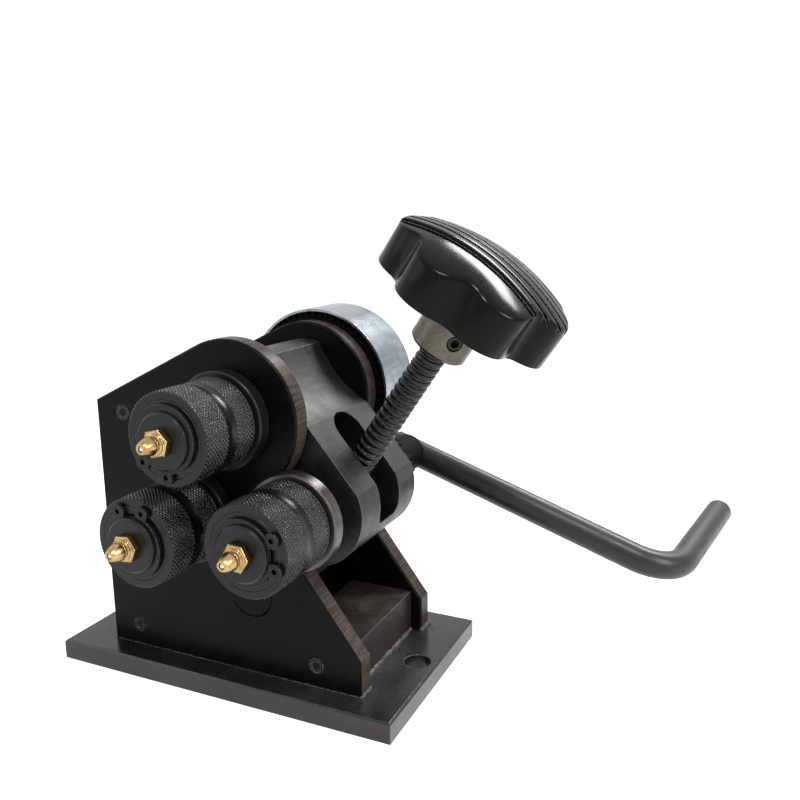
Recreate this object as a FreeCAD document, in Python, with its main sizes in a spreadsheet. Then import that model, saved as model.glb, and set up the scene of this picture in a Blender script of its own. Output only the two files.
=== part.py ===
import FreeCAD, Part
import math
import os
import Sketcher
from FreeCAD import Matrix, Placement, Rotation, Vector

# Hand cranked ring roller, in millimetres.
# X runs along the base, Y from the rollers at the front to the crank at the back, Z up.
# The origin is the middle of the base plate's underside.

SIZES = [
    ("base_length", 150.0, "base plate along X"),
    ("base_width", 85.0, "base plate along Y"),
    ("base_thick", 8.0, "base plate thickness"),
    ("base_hole_inset", 8.0, "bench screw holes from the base's ends"),
    ("base_hole_radius", 5.3, "bench screw holes"),
    ("base_bevel", 0.8, "bevel round the top of the base"),
    ("plate_gap", 48.0, "clear width between the two side plates"),
    ("plate_thick", 8.0, "side plate thickness"),
    ("plate_left_inset", 18.0, "left edge of the side plates from the base's left end"),
    ("corner_rise", 1.8, "left upper corner above the upper shaft"),
    ("plate_right_inset", 16.5, "right edge of the side plates from the base's right end"),
    ("foot_height", 22.0, "height of the upright right edge"),
    ("head_radius", 29.1, "rounding of the side plates about the upper shaft"),
    ("plate_bevel", 0.7, "bevel round the side plates"),
    ("upper_x", 5.9, "upper shaft"),
    ("upper_z", 108.2, "upper shaft"),
    ("left_aside", 16.9, "left shaft to the left of the upper shaft"),
    ("left_drop", 38.8, "left shaft below the upper shaft"),
    ("link_angle", 50.2, "swing arm below the horizontal, degrees"),
    ("swing_in", 12.0, "arm's travel towards the left roller, degrees"),
    ("trunnion_x", 12.2, "trunnion bar"),
    ("trunnion_z", 40.4, "trunnion bar"),
    ("trunnion_radius", 9.5, "trunnion bar"),
    ("shaft_radius", 10.0, "all three roller shafts"),
    ("shaft_front", 69.1, "front ends of the shafts, from the middle"),
    ("shaft_chamfer", 0.8, "shaft ends"),
    ("running_gap", 0.05, "radial clearance of a shaft in its bush"),
    ("side_gap", 0.4, "clearance along a shaft beside a moving piece"),
    ("swing_gap", 2.0, "clearance of the right shaft in the plates' bite"),
    ("roller_radius", 16.7, "knurled rollers"),
    ("roller_front", 65.8, "front faces of the rollers, from the middle"),
    ("roller_chamfer", 0.8, "roller rims"),
    ("band_front", 12.2, "front knurled band"),
    ("groove_width", 4.6, "smooth groove between the bands"),
    ("groove_depth", 0.7, "smooth groove"),
    ("bush_wall", 2.5, "bronze bushes"),
    ("lip_depth", 2.5, "idle rollers' front lip over the bush"),
    ("lip_gap", 0.4, "radial clearance of the lip round the shaft"),
    ("collar_radius", 18.4, "thrust collars behind the rollers"),
    ("collar_thick", 5.8, "thrust collars"),
    ("collar_chamfer", 0.5, "thrust collars"),
    ("clip_thick", 1.2, "circlips"),
    ("clip_depth", 0.7, "circlip grooves"),
    ("clip_band", 3.05, "circlip's widest band"),
    ("clip_lug", 2.6, "circlip's lug radius"),
    ("clip_hole", 1.0, "circlip's lug holes"),
    ("nipple_flats", 9.0, "grease nipple across flats"),
    ("nipple_hex", 3.0, "grease nipple hexagon height"),
    ("nipple_ring", 3.9, "grease nipple ring radius"),
    ("nipple_neck", 2.4, "grease nipple neck radius"),
    ("nipple_head", 3.2, "grease nipple head radius"),
    ("nipple_tip", 2.5, "grease nipple tip radius"),
    ("nipple_length", 9.3, "grease nipple above the shaft's end"),
    ("nipple_stem", 3.0, "grease nipple stem radius"),
    ("nipple_stem_length", 6.5, "grease nipple stem"),
    ("ball_radius", 1.1, "steel ball in the nipple"),
    ("duct_radius", 1.5, "grease duct"),
    ("arm_top_radius", 22.0, "arm about the upper shaft"),
    ("arm_end_radius", 21.2, "arm about the right shaft"),
    ("arm_flat", 20.3, "arm's flat from its centre line"),
    ("arm_waist", 16.8, "arm's scooped flank from its centre line"),
    ("scoop_start", 11.6, "scoop's corner before the upper shaft"),
    ("scoop_end", 20.0, "scoop's far end after the upper shaft"),
    ("slot_width", 17.0, "arm's slot for the screw"),
    ("slot_start", 19.5, "slot's rounded end from the upper shaft"),
    ("slot_web", 2.6, "web that closes the slot's far end"),
    ("slot_corner", 3.0, "slot's far corners"),
    ("gear_module", 1.0, "drive gears"),
    ("pinion_teeth", 28, "crank pinion"),
    ("gear_teeth", 62, "gear on the upper shaft"),
    ("gear_width", 5.5, "drive gears"),
    ("gear_backlash", 0.12, "play between the teeth at the pitch circle"),
    ("gear_front", 0.8, "gears behind the rear plate"),
    ("gear_boss_radius", 15.5, "drive gear's boss"),
    ("gear_boss", 6.0, "drive gear's boss"),
    ("key_width", 6.0, "keys in the upper shaft"),
    ("key_depth", 3.0, "half of the keys' height"),
    ("guard_radius", 33.5, "gear guard outside"),
    ("guard_wall", 1.2, "gear guard sheet"),
    ("guard_front", 0.8, "gear guard's rim behind the rear plate"),
    ("guard_depth", 28.2, "gear guard along Y"),
    ("guard_bend", 2.5, "gear guard's rounded rear corner"),
    ("guard_tab_width", 10.0, "gear guard's tabs"),
    ("guard_tab_reach", 10.5, "gear guard's tabs outward"),
    ("guard_screw_radius", 2.5, "guard screws"),
    ("guard_head_radius", 4.4, "guard screw heads"),
    ("guard_head", 2.6, "guard screw heads"),
    ("journal_radius", 6.0, "right shaft's rear journal"),
    ("journal_end", 60.5, "right shaft's rear end, from the middle"),
    ("hub_radius", 8.5, "crank hub"),
    ("hub_rear", 64.0, "crank hub's rear face, from the middle"),
    ("hub_screw_y", 50.0, "hub's set screw, from the middle"),
    ("hub_screw_radius", 2.0, "hub's set screw"),
    ("hub_screw_dog", 1.5, "dog point of the hub's set screw"),
    ("hub_groove", 1.0, "groove in the journal for the dog point"),
    ("hub_play", 0.3, "clearance round the dog point"),
    ("crank_plane", 68.0, "crank's arm, from the middle"),
    ("crank_angle", 19.2, "crank below the horizontal, degrees"),
    ("crank_radius", 6.0, "crank rod"),
    ("crank_start", 9.0, "crank rod beyond the hub's axis"),
    ("crank_reach", 126.5, "crank's arm to the grip's line"),
    ("crank_bend", 20.0, "crank's bend on its centre line"),
    ("grip_length", 80.0, "crank's grip from the arm's line"),
    ("grip_open", 7.5, "grip's outward lean, degrees"),
    ("grip_twist", 6.0, "grip's upward lean, degrees"),
    ("grip_round", 1.8, "rounded end of the grip"),
    ("weld_leg", 3.0, "fillet welds"),
    ("crank_weld", 2.8, "weld between the hub's end and the crank"),
    ("washer_thick", 1.0, "retaining washers"),
    ("screw_radius", 5.5, "adjusting screw over its thread"),
    ("screw_journal", 4.0, "adjusting screw in the trunnion"),
    ("screw_tail", 15.0, "adjusting screw below the trunnion's axis"),
    ("screw_shoulder", 9.9, "adjusting screw's shoulder above that axis"),
    ("screw_thread_end", 112.0, "knob collar's lower face above that axis"),
    ("screw_spigot", 5.0, "adjusting screw inside the collar and knob"),
    ("screw_bite", 13.0, "adjusting screw inside the knob"),
    ("screw_play", 1.5, "clearance of the screw in the right shaft"),
    ("knob_collar_radius", 11.0, "knob collar"),
    ("knob_rise", 17.5, "knob's skirt above the collar's lower face"),
    ("knob_recess", 3.5, "knob collar inside the knob"),
    ("set_screw_radius", 3.0, "set screw"),
    ("set_screw_height", 8.4, "set screw above the collar's lower face"),
    ("set_screw_turn", -52.0, "set screw round the collar, degrees"),
    ("set_screw_sink", 0.3, "set screw below the collar's surface"),
    ("hex_key_flats", 3.0, "socket of the set screw"),
    ("knob_radius", 34.4, "knob over its lobes"),
    ("knob_valley", 29.6, "knob between its lobes"),
    ("knob_lobe_radius", 12.0, "rounding of the lobes"),
    ("knob_lobes", 7, "knob's lobes"),
    ("knob_turn", -3.5, "knob's turn about the screw, degrees"),
    ("knob_skirt", 15.3, "knob's skirt at its rim"),
    ("knob_height", 24.0, "knob over its ridges"),
    ("knob_wall", 3.2, "knob's wall"),
    ("knob_hub_radius", 14.0, "knob's inner hub"),
    ("ridge_count", 6, "ridges over the knob's crown"),
    ("ridge_width", 3.4, "ridges"),
    ("ridge_gap", 1.7, "channels between the ridges"),
    ("ridge_height", 1.3, "ridges above the dome"),
    ("spacer_height", 17.2, "lower spacer blocks"),
    ("right_block_inset", 4.7, "right block from the side plates' right edge"),
    ("right_block_width", 28.0, "right block along X"),
    ("left_block_inset", 3.6, "left block from the side plates' left edge"),
    ("left_block_width", 20.0, "left block along X"),
    ("tie_radius", 8.0, "upper tie bar"),
    ("tie_inset", 13.2, "upper tie bar from the side plates' left edge"),
    ("tie_drop", 4.1, "upper tie bar below the plates' left upper corner"),
    ("pin_radius", 3.0, "dowel pins"),
    ("pin_bite", 9.0, "dowel pins inside the spacers"),
]

doc = FreeCAD.newDocument("RingRoller")
sheet = doc.addObject("Spreadsheet::Sheet", "Sizes")
for row, (alias, number, meaning) in enumerate(SIZES, start=1):
    sheet.set("A%d" % row, alias)
    sheet.set("B%d" % row, str(number))
    sheet.set("C%d" % row, meaning)
    sheet.setAlias("B%d" % row, alias)
doc.recompute()


class Size:
    """A number together with the sheet formula that it comes from."""

    def __init__(self, value, text):
        self.value = float(value)
        self.text = text

    def join(self, other, sign, value):
        return Size(value, "(%s %s %s)" % (self.text, sign, other.text))

    def __add__(self, other):
        other = as_size(other)
        return self.join(other, "+", self.value + other.value)

    def __radd__(self, other):
        return as_size(other) + self

    def __sub__(self, other):
        other = as_size(other)
        return self.join(other, "-", self.value - other.value)

    def __rsub__(self, other):
        return as_size(other) - self

    def __mul__(self, other):
        other = as_size(other)
        return self.join(other, "*", self.value * other.value)

    def __rmul__(self, other):
        return as_size(other) * self

    def __truediv__(self, other):
        other = as_size(other)
        return self.join(other, "/", self.value / other.value)

    def __neg__(self):
        return Size(-self.value, "(0 - %s)" % self.text)


def as_size(thing):
    return thing if isinstance(thing, Size) else Size(thing, repr(float(thing)))


def size(alias):
    return Size(sheet.get(alias), "Sizes.%s" % alias)


def sine(angle):
    return Size(math.sin(math.radians(angle.value)), "sin(%s)" % angle.text)


def cosine(angle):
    return Size(math.cos(math.radians(angle.value)), "cos(%s)" % angle.text)


def root(number):
    return Size(math.sqrt(number.value), "sqrt(%s)" % number.text)


ZERO = Size(0.0, "0")

# Places that several pieces share.
plate_in = size("plate_gap") / 2
plate_out = plate_in + size("plate_thick")
base_top = size("base_thick")
upper_x, upper_z = size("upper_x"), size("upper_z")
left_x, left_z = upper_x - size("left_aside"), upper_z - size("left_drop")
link = size("gear_module") * (size("pinion_teeth") + size("gear_teeth")) / 2
right_x = upper_x + link * cosine(size("link_angle"))
right_z = upper_z - link * sine(size("link_angle"))
trunnion_x, trunnion_z = size("trunnion_x"), size("trunnion_z")
screw_reach = root((right_x - trunnion_x) * (right_x - trunnion_x)
                   + (right_z - trunnion_z) * (right_z - trunnion_z))
screw_lean = math.degrees(math.atan2(right_x.value - trunnion_x.value,
                                     right_z.value - trunnion_z.value))
shaft_radius = size("shaft_radius")
bush_radius = shaft_radius + size("bush_wall")
collar_back = plate_out + size("side_gap")
collar_front = collar_back + size("collar_thick")
roller_back = collar_front + size("side_gap")
clip_back = size("roller_front") + size("side_gap")
groove_radius = shaft_radius - size("clip_depth")
gear_front = plate_out + size("gear_front")
gear_back = gear_front + size("gear_width")
plate_left = size("base_length") / 2 - size("plate_left_inset")
plate_right = size("base_length") / 2 - size("plate_right_inset")
right_block_end = plate_right - size("right_block_inset")
left_block_end = plate_left - size("left_block_inset")
plate_corner = upper_z + size("corner_rise")
tie_x, tie_z = size("tie_inset") - plate_left, plate_corner - size("tie_drop")
pin_z = base_top + size("spacer_height") / 2
right_pin_x = right_block_end - size("right_block_width") / 2
left_pin_x = size("left_block_width") / 2 - left_block_end
knob_base = size("screw_thread_end") + size("knob_rise")
GUARD_TABS = (172.0, 192.0, 212.0)

nodes = []


def publish(thing, label):
    """Keep a finished piece under the name of its file."""
    thing.Label = label
    nodes.append(thing)
    return thing


def bind(thing, path, amount):
    amount = as_size(amount)
    thing.setExpression(path, amount.text)


def place(thing, x=ZERO, y=ZERO, z=ZERO, turn=0.0, axis=Vector(0, 1, 0)):
    """Turn a piece about one of its axes, then carry it to its place."""
    thing.Placement = Placement(Vector(0, 0, 0), Rotation(axis, turn))
    for letter, amount in zip("xyz", (x, y, z)):
        bind(thing, "Placement.Base.%s" % letter, amount)
    return thing


def new_body(name):
    return doc.addObject("PartDesign::Body", name)


def new_sketch(body, role, name, lift=None):
    """A sketch on one of the body's own planes, moved along its normal by lift."""
    sketch = body.newObject("Sketcher::SketchObject", name)
    support = [item for item in body.Origin.OriginFeatures if item.Role == role][0]
    sketch.AttachmentSupport = [(support, "")]
    sketch.MapMode = "FlatFace"
    if lift is not None:
        bind(sketch, "AttachmentOffset.Base.z", lift)
    return sketch


def pin_point(sketch, index, spot, x, y):
    """Hold a point of the sketch at x and y from its origin."""
    for kind, axis_line, amount in (("DistanceX", -2, x), ("DistanceY", -1, y)):
        amount = as_size(amount)
        if abs(amount.value) < 1e-9:
            sketch.addConstraint(Sketcher.Constraint("PointOnObject", index, spot, axis_line))
            continue
        number = sketch.addConstraint(
            Sketcher.Constraint(kind, -1, 1, index, spot, amount.value))
        bind(sketch, "Constraints[%d]" % number, amount)


def draw_circle(sketch, x, y, radius):
    x, y, radius = as_size(x), as_size(y), as_size(radius)
    centre = Vector(x.value, y.value, 0)
    index = sketch.addGeometry(Part.Circle(centre, Vector(0, 0, 1), radius.value), False)
    pin_point(sketch, index, 3, x, y)
    number = sketch.addConstraint(Sketcher.Constraint("Radius", index, radius.value))
    bind(sketch, "Constraints[%d]" % number, radius)


def draw_outline(sketch, corners):
    """Close an outline through corners of (x, y) or (x, y, radius of the arc to the next).

    A positive radius bends the outline to the left, a negative one to the right.
    """
    count = len(corners)
    spots = [Vector(as_size(c[0]).value, as_size(c[1]).value, 0) for c in corners]
    ends = []
    for i, corner in enumerate(corners):
        start, end = spots[i], spots[(i + 1) % count]
        if len(corner) == 2:
            index = sketch.addGeometry(Part.LineSegment(start, end), False)
            ends.append((index, 1, 2))
            continue
        bend = as_size(corner[2])
        chord = end - start
        half = chord.Length / 2
        left = Vector(-chord.y, chord.x, 0).normalize()
        rise = math.sqrt(max(bend.value ** 2 - half ** 2, 0.0))
        turn = 1.0 if bend.value > 0 else -1.0
        centre = (start + end) * 0.5 + left * (turn * rise)
        circle = Part.Circle(centre, Vector(0, 0, 1), abs(bend.value))
        first, last = (start, end) if turn > 0 else (end, start)
        angles = [math.atan2(p.y - centre.y, p.x - centre.x) for p in (first, last)]
        if angles[1] <= angles[0]:
            angles[1] += 2 * math.pi
        index = sketch.addGeometry(Part.ArcOfCircle(circle, angles[0], angles[1]), False)
        ends.append((index, 1, 2) if turn > 0 else (index, 2, 1))
        number = sketch.addConstraint(Sketcher.Constraint("Radius", index, abs(bend.value)))
        bind(sketch, "Constraints[%d]" % number, bend if turn > 0 else -bend)
    for i in range(count):
        index, first_spot, last_spot = ends[i]
        next_index, next_spot, unused_spot = ends[(i + 1) % count]
        sketch.addConstraint(
            Sketcher.Constraint("Coincident", index, last_spot, next_index, next_spot))
        pin_point(sketch, index, first_spot, corners[i][0], corners[i][1])


def pad(body, sketch, length, backwards=False, name="Pad"):
    feature = body.newObject("PartDesign::Pad", name)
    feature.Profile = sketch
    feature.Reversed = backwards
    bind(feature, "Length", length)
    return feature


def pocket(body, sketch, backwards=False, length=None, name="Pocket"):
    """Cut through everything on one side of the sketch, or only as deep as length."""
    doc.recompute()
    before = body.Shape.Volume
    feature = body.newObject("PartDesign::Pocket", name)
    feature.Profile = sketch
    feature.Reversed = backwards
    if length is None:
        feature.Type = "ThroughAll"
    else:
        bind(feature, "Length", length)
    doc.recompute()
    if not body.Shape.Volume < before - 1e-6:
        raise RuntimeError("%s cuts nothing from %s" % (name, body.Name))
    return feature


def revolve(body, sketch, name="Revolution"):
    feature = body.newObject("PartDesign::Revolution", name)
    feature.Profile = sketch
    feature.ReferenceAxis = (sketch, ["V_Axis"])
    feature.Angle = 360.0
    return feature


def turned(name, corners, role="XY_Plane"):
    """A turned piece: a profile of radius and height spun about the sketch's upright axis."""
    body = new_body(name)
    sketch = new_sketch(body, role, name + "_profile")
    draw_outline(sketch, corners)
    revolve(body, sketch, name + "_turn")
    return body


def chamfer_edges(body, amount, picks, name):
    """Bevel the edges of the body's tip that picks accepts."""
    doc.recompute()
    tip = body.Tip
    names = ["Edge%d" % (i + 1) for i, edge in enumerate(tip.Shape.Edges) if picks(edge)]
    feature = body.newObject("PartDesign::Chamfer", name)
    feature.Base = (tip, names)
    bind(feature, "Size", amount)
    return feature


def cylinder(name, radius, length, x=ZERO, y=ZERO, z=ZERO, along="Y"):
    """A plain cylinder that starts at x, y, z and runs along Y or Z."""
    thing = doc.addObject("Part::Cylinder", name)
    bind(thing, "Radius", radius)
    bind(thing, "Height", length)
    turn = -90.0 if along == "Y" else 0.0
    return place(thing, x, y, z, turn, Vector(1, 0, 0))


def block(name, length, width, height, x=ZERO, y=ZERO, z=ZERO):
    thing = doc.addObject("Part::Box", name)
    bind(thing, "Length", length)
    bind(thing, "Width", width)
    bind(thing, "Height", height)
    return place(thing, x, y, z)


def fuse(name, shapes):
    thing = doc.addObject("Part::MultiFuse", name)
    thing.Shapes = shapes
    return thing


def cut(name, base, tool):
    thing = doc.addObject("Part::Cut", name)
    thing.Base = base
    thing.Tool = tool
    return thing


def group(name, shapes):
    thing = doc.addObject("Part::Compound", name)
    thing.Links = shapes
    return thing


# Frame

def make_base():
    body = new_body("base_plate")
    sketch = new_sketch(body, "XY_Plane", "base_outline")
    half_x, half_y = size("base_length") / 2, size("base_width") / 2
    draw_outline(sketch, [(-half_x, -half_y), (half_x, -half_y), (half_x, half_y), (-half_x, half_y)])
    for side in (-1, 1):
        draw_circle(sketch, (half_x - size("base_hole_inset")) * side, ZERO, size("base_hole_radius"))
    pad(body, sketch, base_top)
    top = base_top.value
    chamfer_edges(body, size("base_bevel"), lambda edge: min(v.Z for v in edge.Vertexes) > top - 0.01
                  and edge.Curve.TypeId == "Part::GeomLine", "base_bevel_edges")
    publish(body, "base_plate")


def make_side_plate(label, rear):
    """A side plate with its rounded head, slanted brace edge and the right shaft's bite."""
    body = new_body(label)
    outline = new_sketch(body, "XZ_Plane", label + "_outline")
    radius = size("head_radius")
    from_head_x = -plate_left - upper_x
    from_head_z = plate_corner - upper_z
    square = from_head_x * from_head_x + from_head_z * from_head_z
    reach = root(square - radius * radius)
    touch_x = upper_x + (radius * radius * from_head_x + radius * reach * from_head_z) / square
    touch_z = upper_z + (radius * radius * from_head_z - radius * reach * from_head_x) / square
    # The brace edge just touches the circle that keeps clear of the right shaft.
    foot = size("foot_height")
    clear = shaft_radius + size("swing_gap")
    aside, above = plate_right - right_x, right_z - foot
    apart = aside * aside + above * above
    along = root(apart - clear * clear)
    slant_sine = (aside * along + above * clear) / apart
    slant_cosine = (above * along - aside * clear) / apart
    run = (plate_right - upper_x) * slant_sine + (upper_z - foot) * slant_cosine
    brace_x, brace_z = plate_right - run * slant_sine, foot + run * slant_cosine
    draw_outline(outline, [
        (-plate_left, base_top), (plate_right, base_top), (plate_right, foot), (brace_x, brace_z),
        (touch_x, touch_z), (-plate_left, plate_corner)])
    pad(body, outline, size("plate_thick"), name=label + "_web")
    head = new_sketch(body, "XZ_Plane", label + "_head")
    draw_circle(head, upper_x, upper_z, radius)
    pad(body, head, size("plate_thick"), name=label + "_round")
    bite = new_sketch(body, "XZ_Plane", label + "_bite")
    inward = size("link_angle") + size("swing_in")
    draw_circle(bite, upper_x + link * cosine(inward), upper_z - link * sine(inward),
                clear)
    pocket(body, bite, True, name=label + "_bite_cut")
    front_y = -size("plate_thick").value
    body.Tip.Refine = True
    doc.recompute()

    def on_outline(edge):
        # The outer edges of both faces, all of them longer than the bores' rims would be.
        flat = all(abs(v.Y - edge.Vertexes[0].Y) < 0.01 for v in edge.Vertexes)
        at_face = min(abs(edge.Vertexes[0].Y), abs(edge.Vertexes[0].Y - front_y)) < 0.01
        on_base = all(abs(v.Z - base_top.value) < 0.01 for v in edge.Vertexes)
        return flat and at_face and not on_base

    chamfer_edges(body, size("plate_bevel"), on_outline, label + "_bevel")
    holes = new_sketch(body, "XZ_Plane", label + "_holes")
    draw_circle(holes, upper_x, upper_z, bush_radius)
    draw_circle(holes, left_x, left_z, shaft_radius)
    draw_circle(holes, trunnion_x, trunnion_z, size("trunnion_radius") + size("running_gap"))
    for x, z in ((right_pin_x, pin_z), (left_pin_x, pin_z), (tie_x, tie_z)):
        draw_circle(holes, x, z, size("pin_radius"))
    if rear:
        for x, z in guard_screw_places():
            draw_circle(holes, x, z, size("guard_screw_radius"))
    pocket(body, holes, True, name=label + "_bores")
    place(body, y=plate_out if rear else -plate_in)
    publish(body, label)


def guard_screw_places():
    reach = size("guard_radius") + size("guard_tab_reach") / 2
    spots = []
    for angle in GUARD_TABS:
        angle = as_size(angle)
        spots.append((upper_x + reach * cosine(angle), upper_z + reach * sine(angle)))
    return spots


def pin_sockets(name, x, z):
    """Two blind holes for the dowel pins, one from each end of a spacer."""
    depth = size("pin_bite")
    return [cylinder(name + "_front", size("pin_radius"), depth, x, -plate_in, z),
            cylinder(name + "_back", size("pin_radius"), depth, x, plate_in - depth, z)]


def make_spacers():
    half = size("plate_gap") / 2
    for label, start, width, pin_x in (
            ("lower_spacer_block", right_block_end - size("right_block_width"),
             size("right_block_width"), right_pin_x),
            ("left_spacer_block", -left_block_end, size("left_block_width"), left_pin_x)):
        bar = block(label + "_bar", width, size("plate_gap"), size("spacer_height"),
                    start, -half, base_top)
        tools = fuse(label + "_sockets", pin_sockets(label, pin_x, pin_z))
        publish(cut(label, bar, tools), label)
    bar = cylinder("tie_bar", size("tie_radius"), size("plate_gap"), tie_x, -half, tie_z)
    tools = fuse("tie_sockets", pin_sockets("tie_socket", tie_x, tie_z))
    publish(cut("upper_tie", bar, tools), "upper_tie_bar")


def make_dowels():
    """Six pins, flush with the plates' outer faces, that hold the spacers."""
    length = size("plate_thick") + size("pin_bite")
    pins = []
    for i, (x, z) in enumerate(((right_pin_x, pin_z), (left_pin_x, pin_z),
                                (tie_x, tie_z))):
        pins.append(cylinder("dowel_front_%d" % i, size("pin_radius"), length, x, -plate_out, z))
        pins.append(cylinder("dowel_back_%d" % i, size("pin_radius"), length, x,
                             plate_in - size("pin_bite"), z))
    publish(group("dowels", pins), "dowel_pins")


def weld_bead(name, start, end, y, side):
    """A fillet weld along X in the corner between the base and an upright face."""
    body = new_body(name)
    sketch = new_sketch(body, "YZ_Plane", name + "_section")
    leg = size("weld_leg")
    draw_outline(sketch, [(ZERO, ZERO), (leg * side, ZERO), (ZERO, leg)])
    pad(body, sketch, end - start, name=name + "_run")
    return place(body, start, y, base_top)


def make_welds():
    left, right = -plate_left, plate_right
    beads = [weld_bead("front_bead", left, right, -plate_out, -1),
             weld_bead("rear_bead", left, right, plate_out, 1)]
    side = new_body("block_bead")
    sketch = new_sketch(side, "XZ_Plane", "block_bead_section")
    leg = size("weld_leg")
    draw_outline(sketch, [(ZERO, ZERO), (leg, ZERO), (ZERO, leg)])
    pad(side, sketch, size("plate_gap"), name="block_bead_run")
    beads.append(place(side, right_block_end, plate_in, base_top))
    publish(group("welds", beads), "weld_beads")


# Pieces that come three or more times

def shaft_profile(rear, tail=()):
    """Front end with its grease hole and circlip groove, then the shaft to its rear corners."""
    front = -size("shaft_front")
    stem_end = front + size("nipple_stem_length") + 1.5
    duct_end = front + size("nipple_stem_length") + 12.0
    clip_in = -clip_back - size("clip_thick") - 0.05
    bevel = size("shaft_chamfer")
    corners = [(size("nipple_stem"), front), (shaft_radius - bevel, front),
               (shaft_radius, front + bevel),
               (shaft_radius, clip_in), (groove_radius, clip_in),
               (groove_radius, -clip_back + 0.05), (shaft_radius, -clip_back + 0.05)]
    corners += list(tail) if tail else [(shaft_radius, rear - bevel), (shaft_radius - bevel, rear)]
    corners += [(ZERO, corners[-1][1]), (ZERO, duct_end), (size("duct_radius"), duct_end),
                (size("duct_radius"), stem_end), (size("nipple_stem"), stem_end)]
    return corners


def grease_port(body, name):
    """The hole that leads grease from the duct to the roller's bore."""
    sketch = new_sketch(body, "XY_Plane", name)
    draw_circle(sketch, ZERO, -size("shaft_front") + size("nipple_stem_length") + 10.0,
                size("duct_radius"))
    pocket(body, sketch, True, name=name + "_cut")


def make_circlip(label, radius, back, x, z, gap_turn):
    """An external circlip: an off-centre band with two drilled lugs beside its gap."""
    thick = size("clip_thick")
    seat = radius - size("clip_depth") + 0.05
    outer = seat + size("clip_band") * 0.8
    offset = size("clip_band") * 0.2
    lug_reach = seat + size("clip_lug") * 1.25
    band = cylinder(label + "_band", outer, thick, ZERO - offset)
    lugs, holes = [], []
    for side in (-1, 1):
        turn = as_size(side * 24.0)
        lugs.append(cylinder(label + "_lug%d" % (side + 1), size("clip_lug"), thick,
                             lug_reach * cosine(turn), ZERO, lug_reach * sine(turn)))
        holes.append(cylinder(label + "_eye%d" % (side + 1), size("clip_hole"), thick,
                              lug_reach * cosine(turn), ZERO, lug_reach * sine(turn)))
    holes.append(cylinder(label + "_seat", seat, thick))
    gap = size("clip_lug") * 2.0
    holes.append(block(label + "_gap", seat * 2, thick, gap, ZERO, ZERO, ZERO - gap / 2))
    clip = cut(label + "_clip", fuse(label + "_body", [band] + lugs), fuse(label + "_tools", holes))
    place(clip, x, back, z, gap_turn)
    publish(clip, label)


def make_nipple(prefix, x, z, turn):
    """A brass grease nipple and the steel ball in its tip, both pointing to the front."""
    hexagon = doc.addObject("Part::Prism", prefix + "_hex")
    hexagon.Polygon = 6
    bind(hexagon, "Circumradius", size("nipple_flats") / (2 * cosine(as_size(30.0))))
    bind(hexagon, "Height", size("nipple_hex"))
    length, head = size("nipple_length"), size("nipple_head")
    stem, neck, tip = size("nipple_stem"), size("nipple_neck"), size("nipple_tip")
    ring, low = size("nipple_ring"), size("nipple_hex")
    seat = length - size("ball_radius")
    core = turned(prefix + "_core", [
        (size("duct_radius") * 0.6, -size("nipple_stem_length")), (stem, -size("nipple_stem_length")),
        (stem, ZERO), (ring, low * 0.5), (ring, low + 0.7), (neck, low + 1.8), (neck, low + 2.2),
        (head, low + 2.9), (head - 0.1, length - 2.6), (tip, length), (size("ball_radius") * 0.85, length),
        (size("ball_radius") * 1.02, seat), (size("duct_radius") * 0.6, seat - 1.4)], "XZ_Plane")
    nipple = fuse(prefix + "_solid", [hexagon, core])
    drilled = cut(prefix + "_drilled", nipple,
                  cylinder(prefix + "_duct", size("duct_radius") * 0.6, size("nipple_hex") + 1.0,
                           along="Z"))
    outward = Rotation(Vector(1, 0, 0), 90.0).multiply(Rotation(Vector(0, 0, 1), turn))
    drilled.Placement = Placement(Vector(0, 0, 0), outward)
    for letter, amount in zip("xyz", (x, -size("shaft_front"), z)):
        bind(drilled, "Placement.Base.%s" % letter, amount)
    publish(drilled, prefix + "_grease_nipple")
    ball = doc.addObject("Part::Sphere", prefix + "_ball")
    bind(ball, "Radius", size("ball_radius"))
    place(ball, x, -size("shaft_front") - seat, z)
    publish(ball, prefix + "_nipple_ball")


def roller_profile(bore, lip=None):
    """Two bands for the knurling with a smooth groove between them, and a lip before the bush."""
    front, back = -size("roller_front"), -roller_back
    rim, bevel, low = size("roller_radius"), size("roller_chamfer"), size("groove_depth")
    groove = front + size("band_front")
    groove_end = groove + size("groove_width")
    corners = [(rim - bevel, front), (rim, front + bevel), (rim, groove),
               (rim - low, groove + low), (rim - low, groove_end - low), (rim, groove_end),
               (rim, back - bevel), (rim - bevel, back), (bore, back)]
    if lip is None:
        return [(bore, front)] + corners
    lip_end = front + size("lip_depth")
    return [(lip, front)] + corners + [(bore, lip_end), (lip, lip_end)]


def make_idle_roller(prefix, x, z):
    body = turned(prefix + "_roller_body",
                  roller_profile(bush_radius, shaft_radius + size("lip_gap")))
    place(body, x, ZERO, z)
    publish(body, prefix + "_roller")
    inner, start = shaft_radius + size("running_gap"), size("lip_depth") - size("roller_front")
    bush = turned(prefix + "_bush", [(inner, start), (bush_radius, start),
                                     (bush_radius, -roller_back), (inner, -roller_back)])
    place(bush, x, ZERO, z)
    publish(bush, prefix + "_roller_bush")


def make_collar(prefix, x, z):
    rim, bevel = size("collar_radius"), size("collar_chamfer")
    body = turned(prefix + "_collar", [
        (shaft_radius, -collar_front), (rim - bevel, -collar_front), (rim, -collar_front + bevel),
        (rim, -collar_back - bevel), (rim - bevel, -collar_back), (shaft_radius, -collar_back)])
    place(body, x, ZERO, z)
    publish(body, prefix + "_thrust_collar")


# Left roller on its fixed shaft

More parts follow.
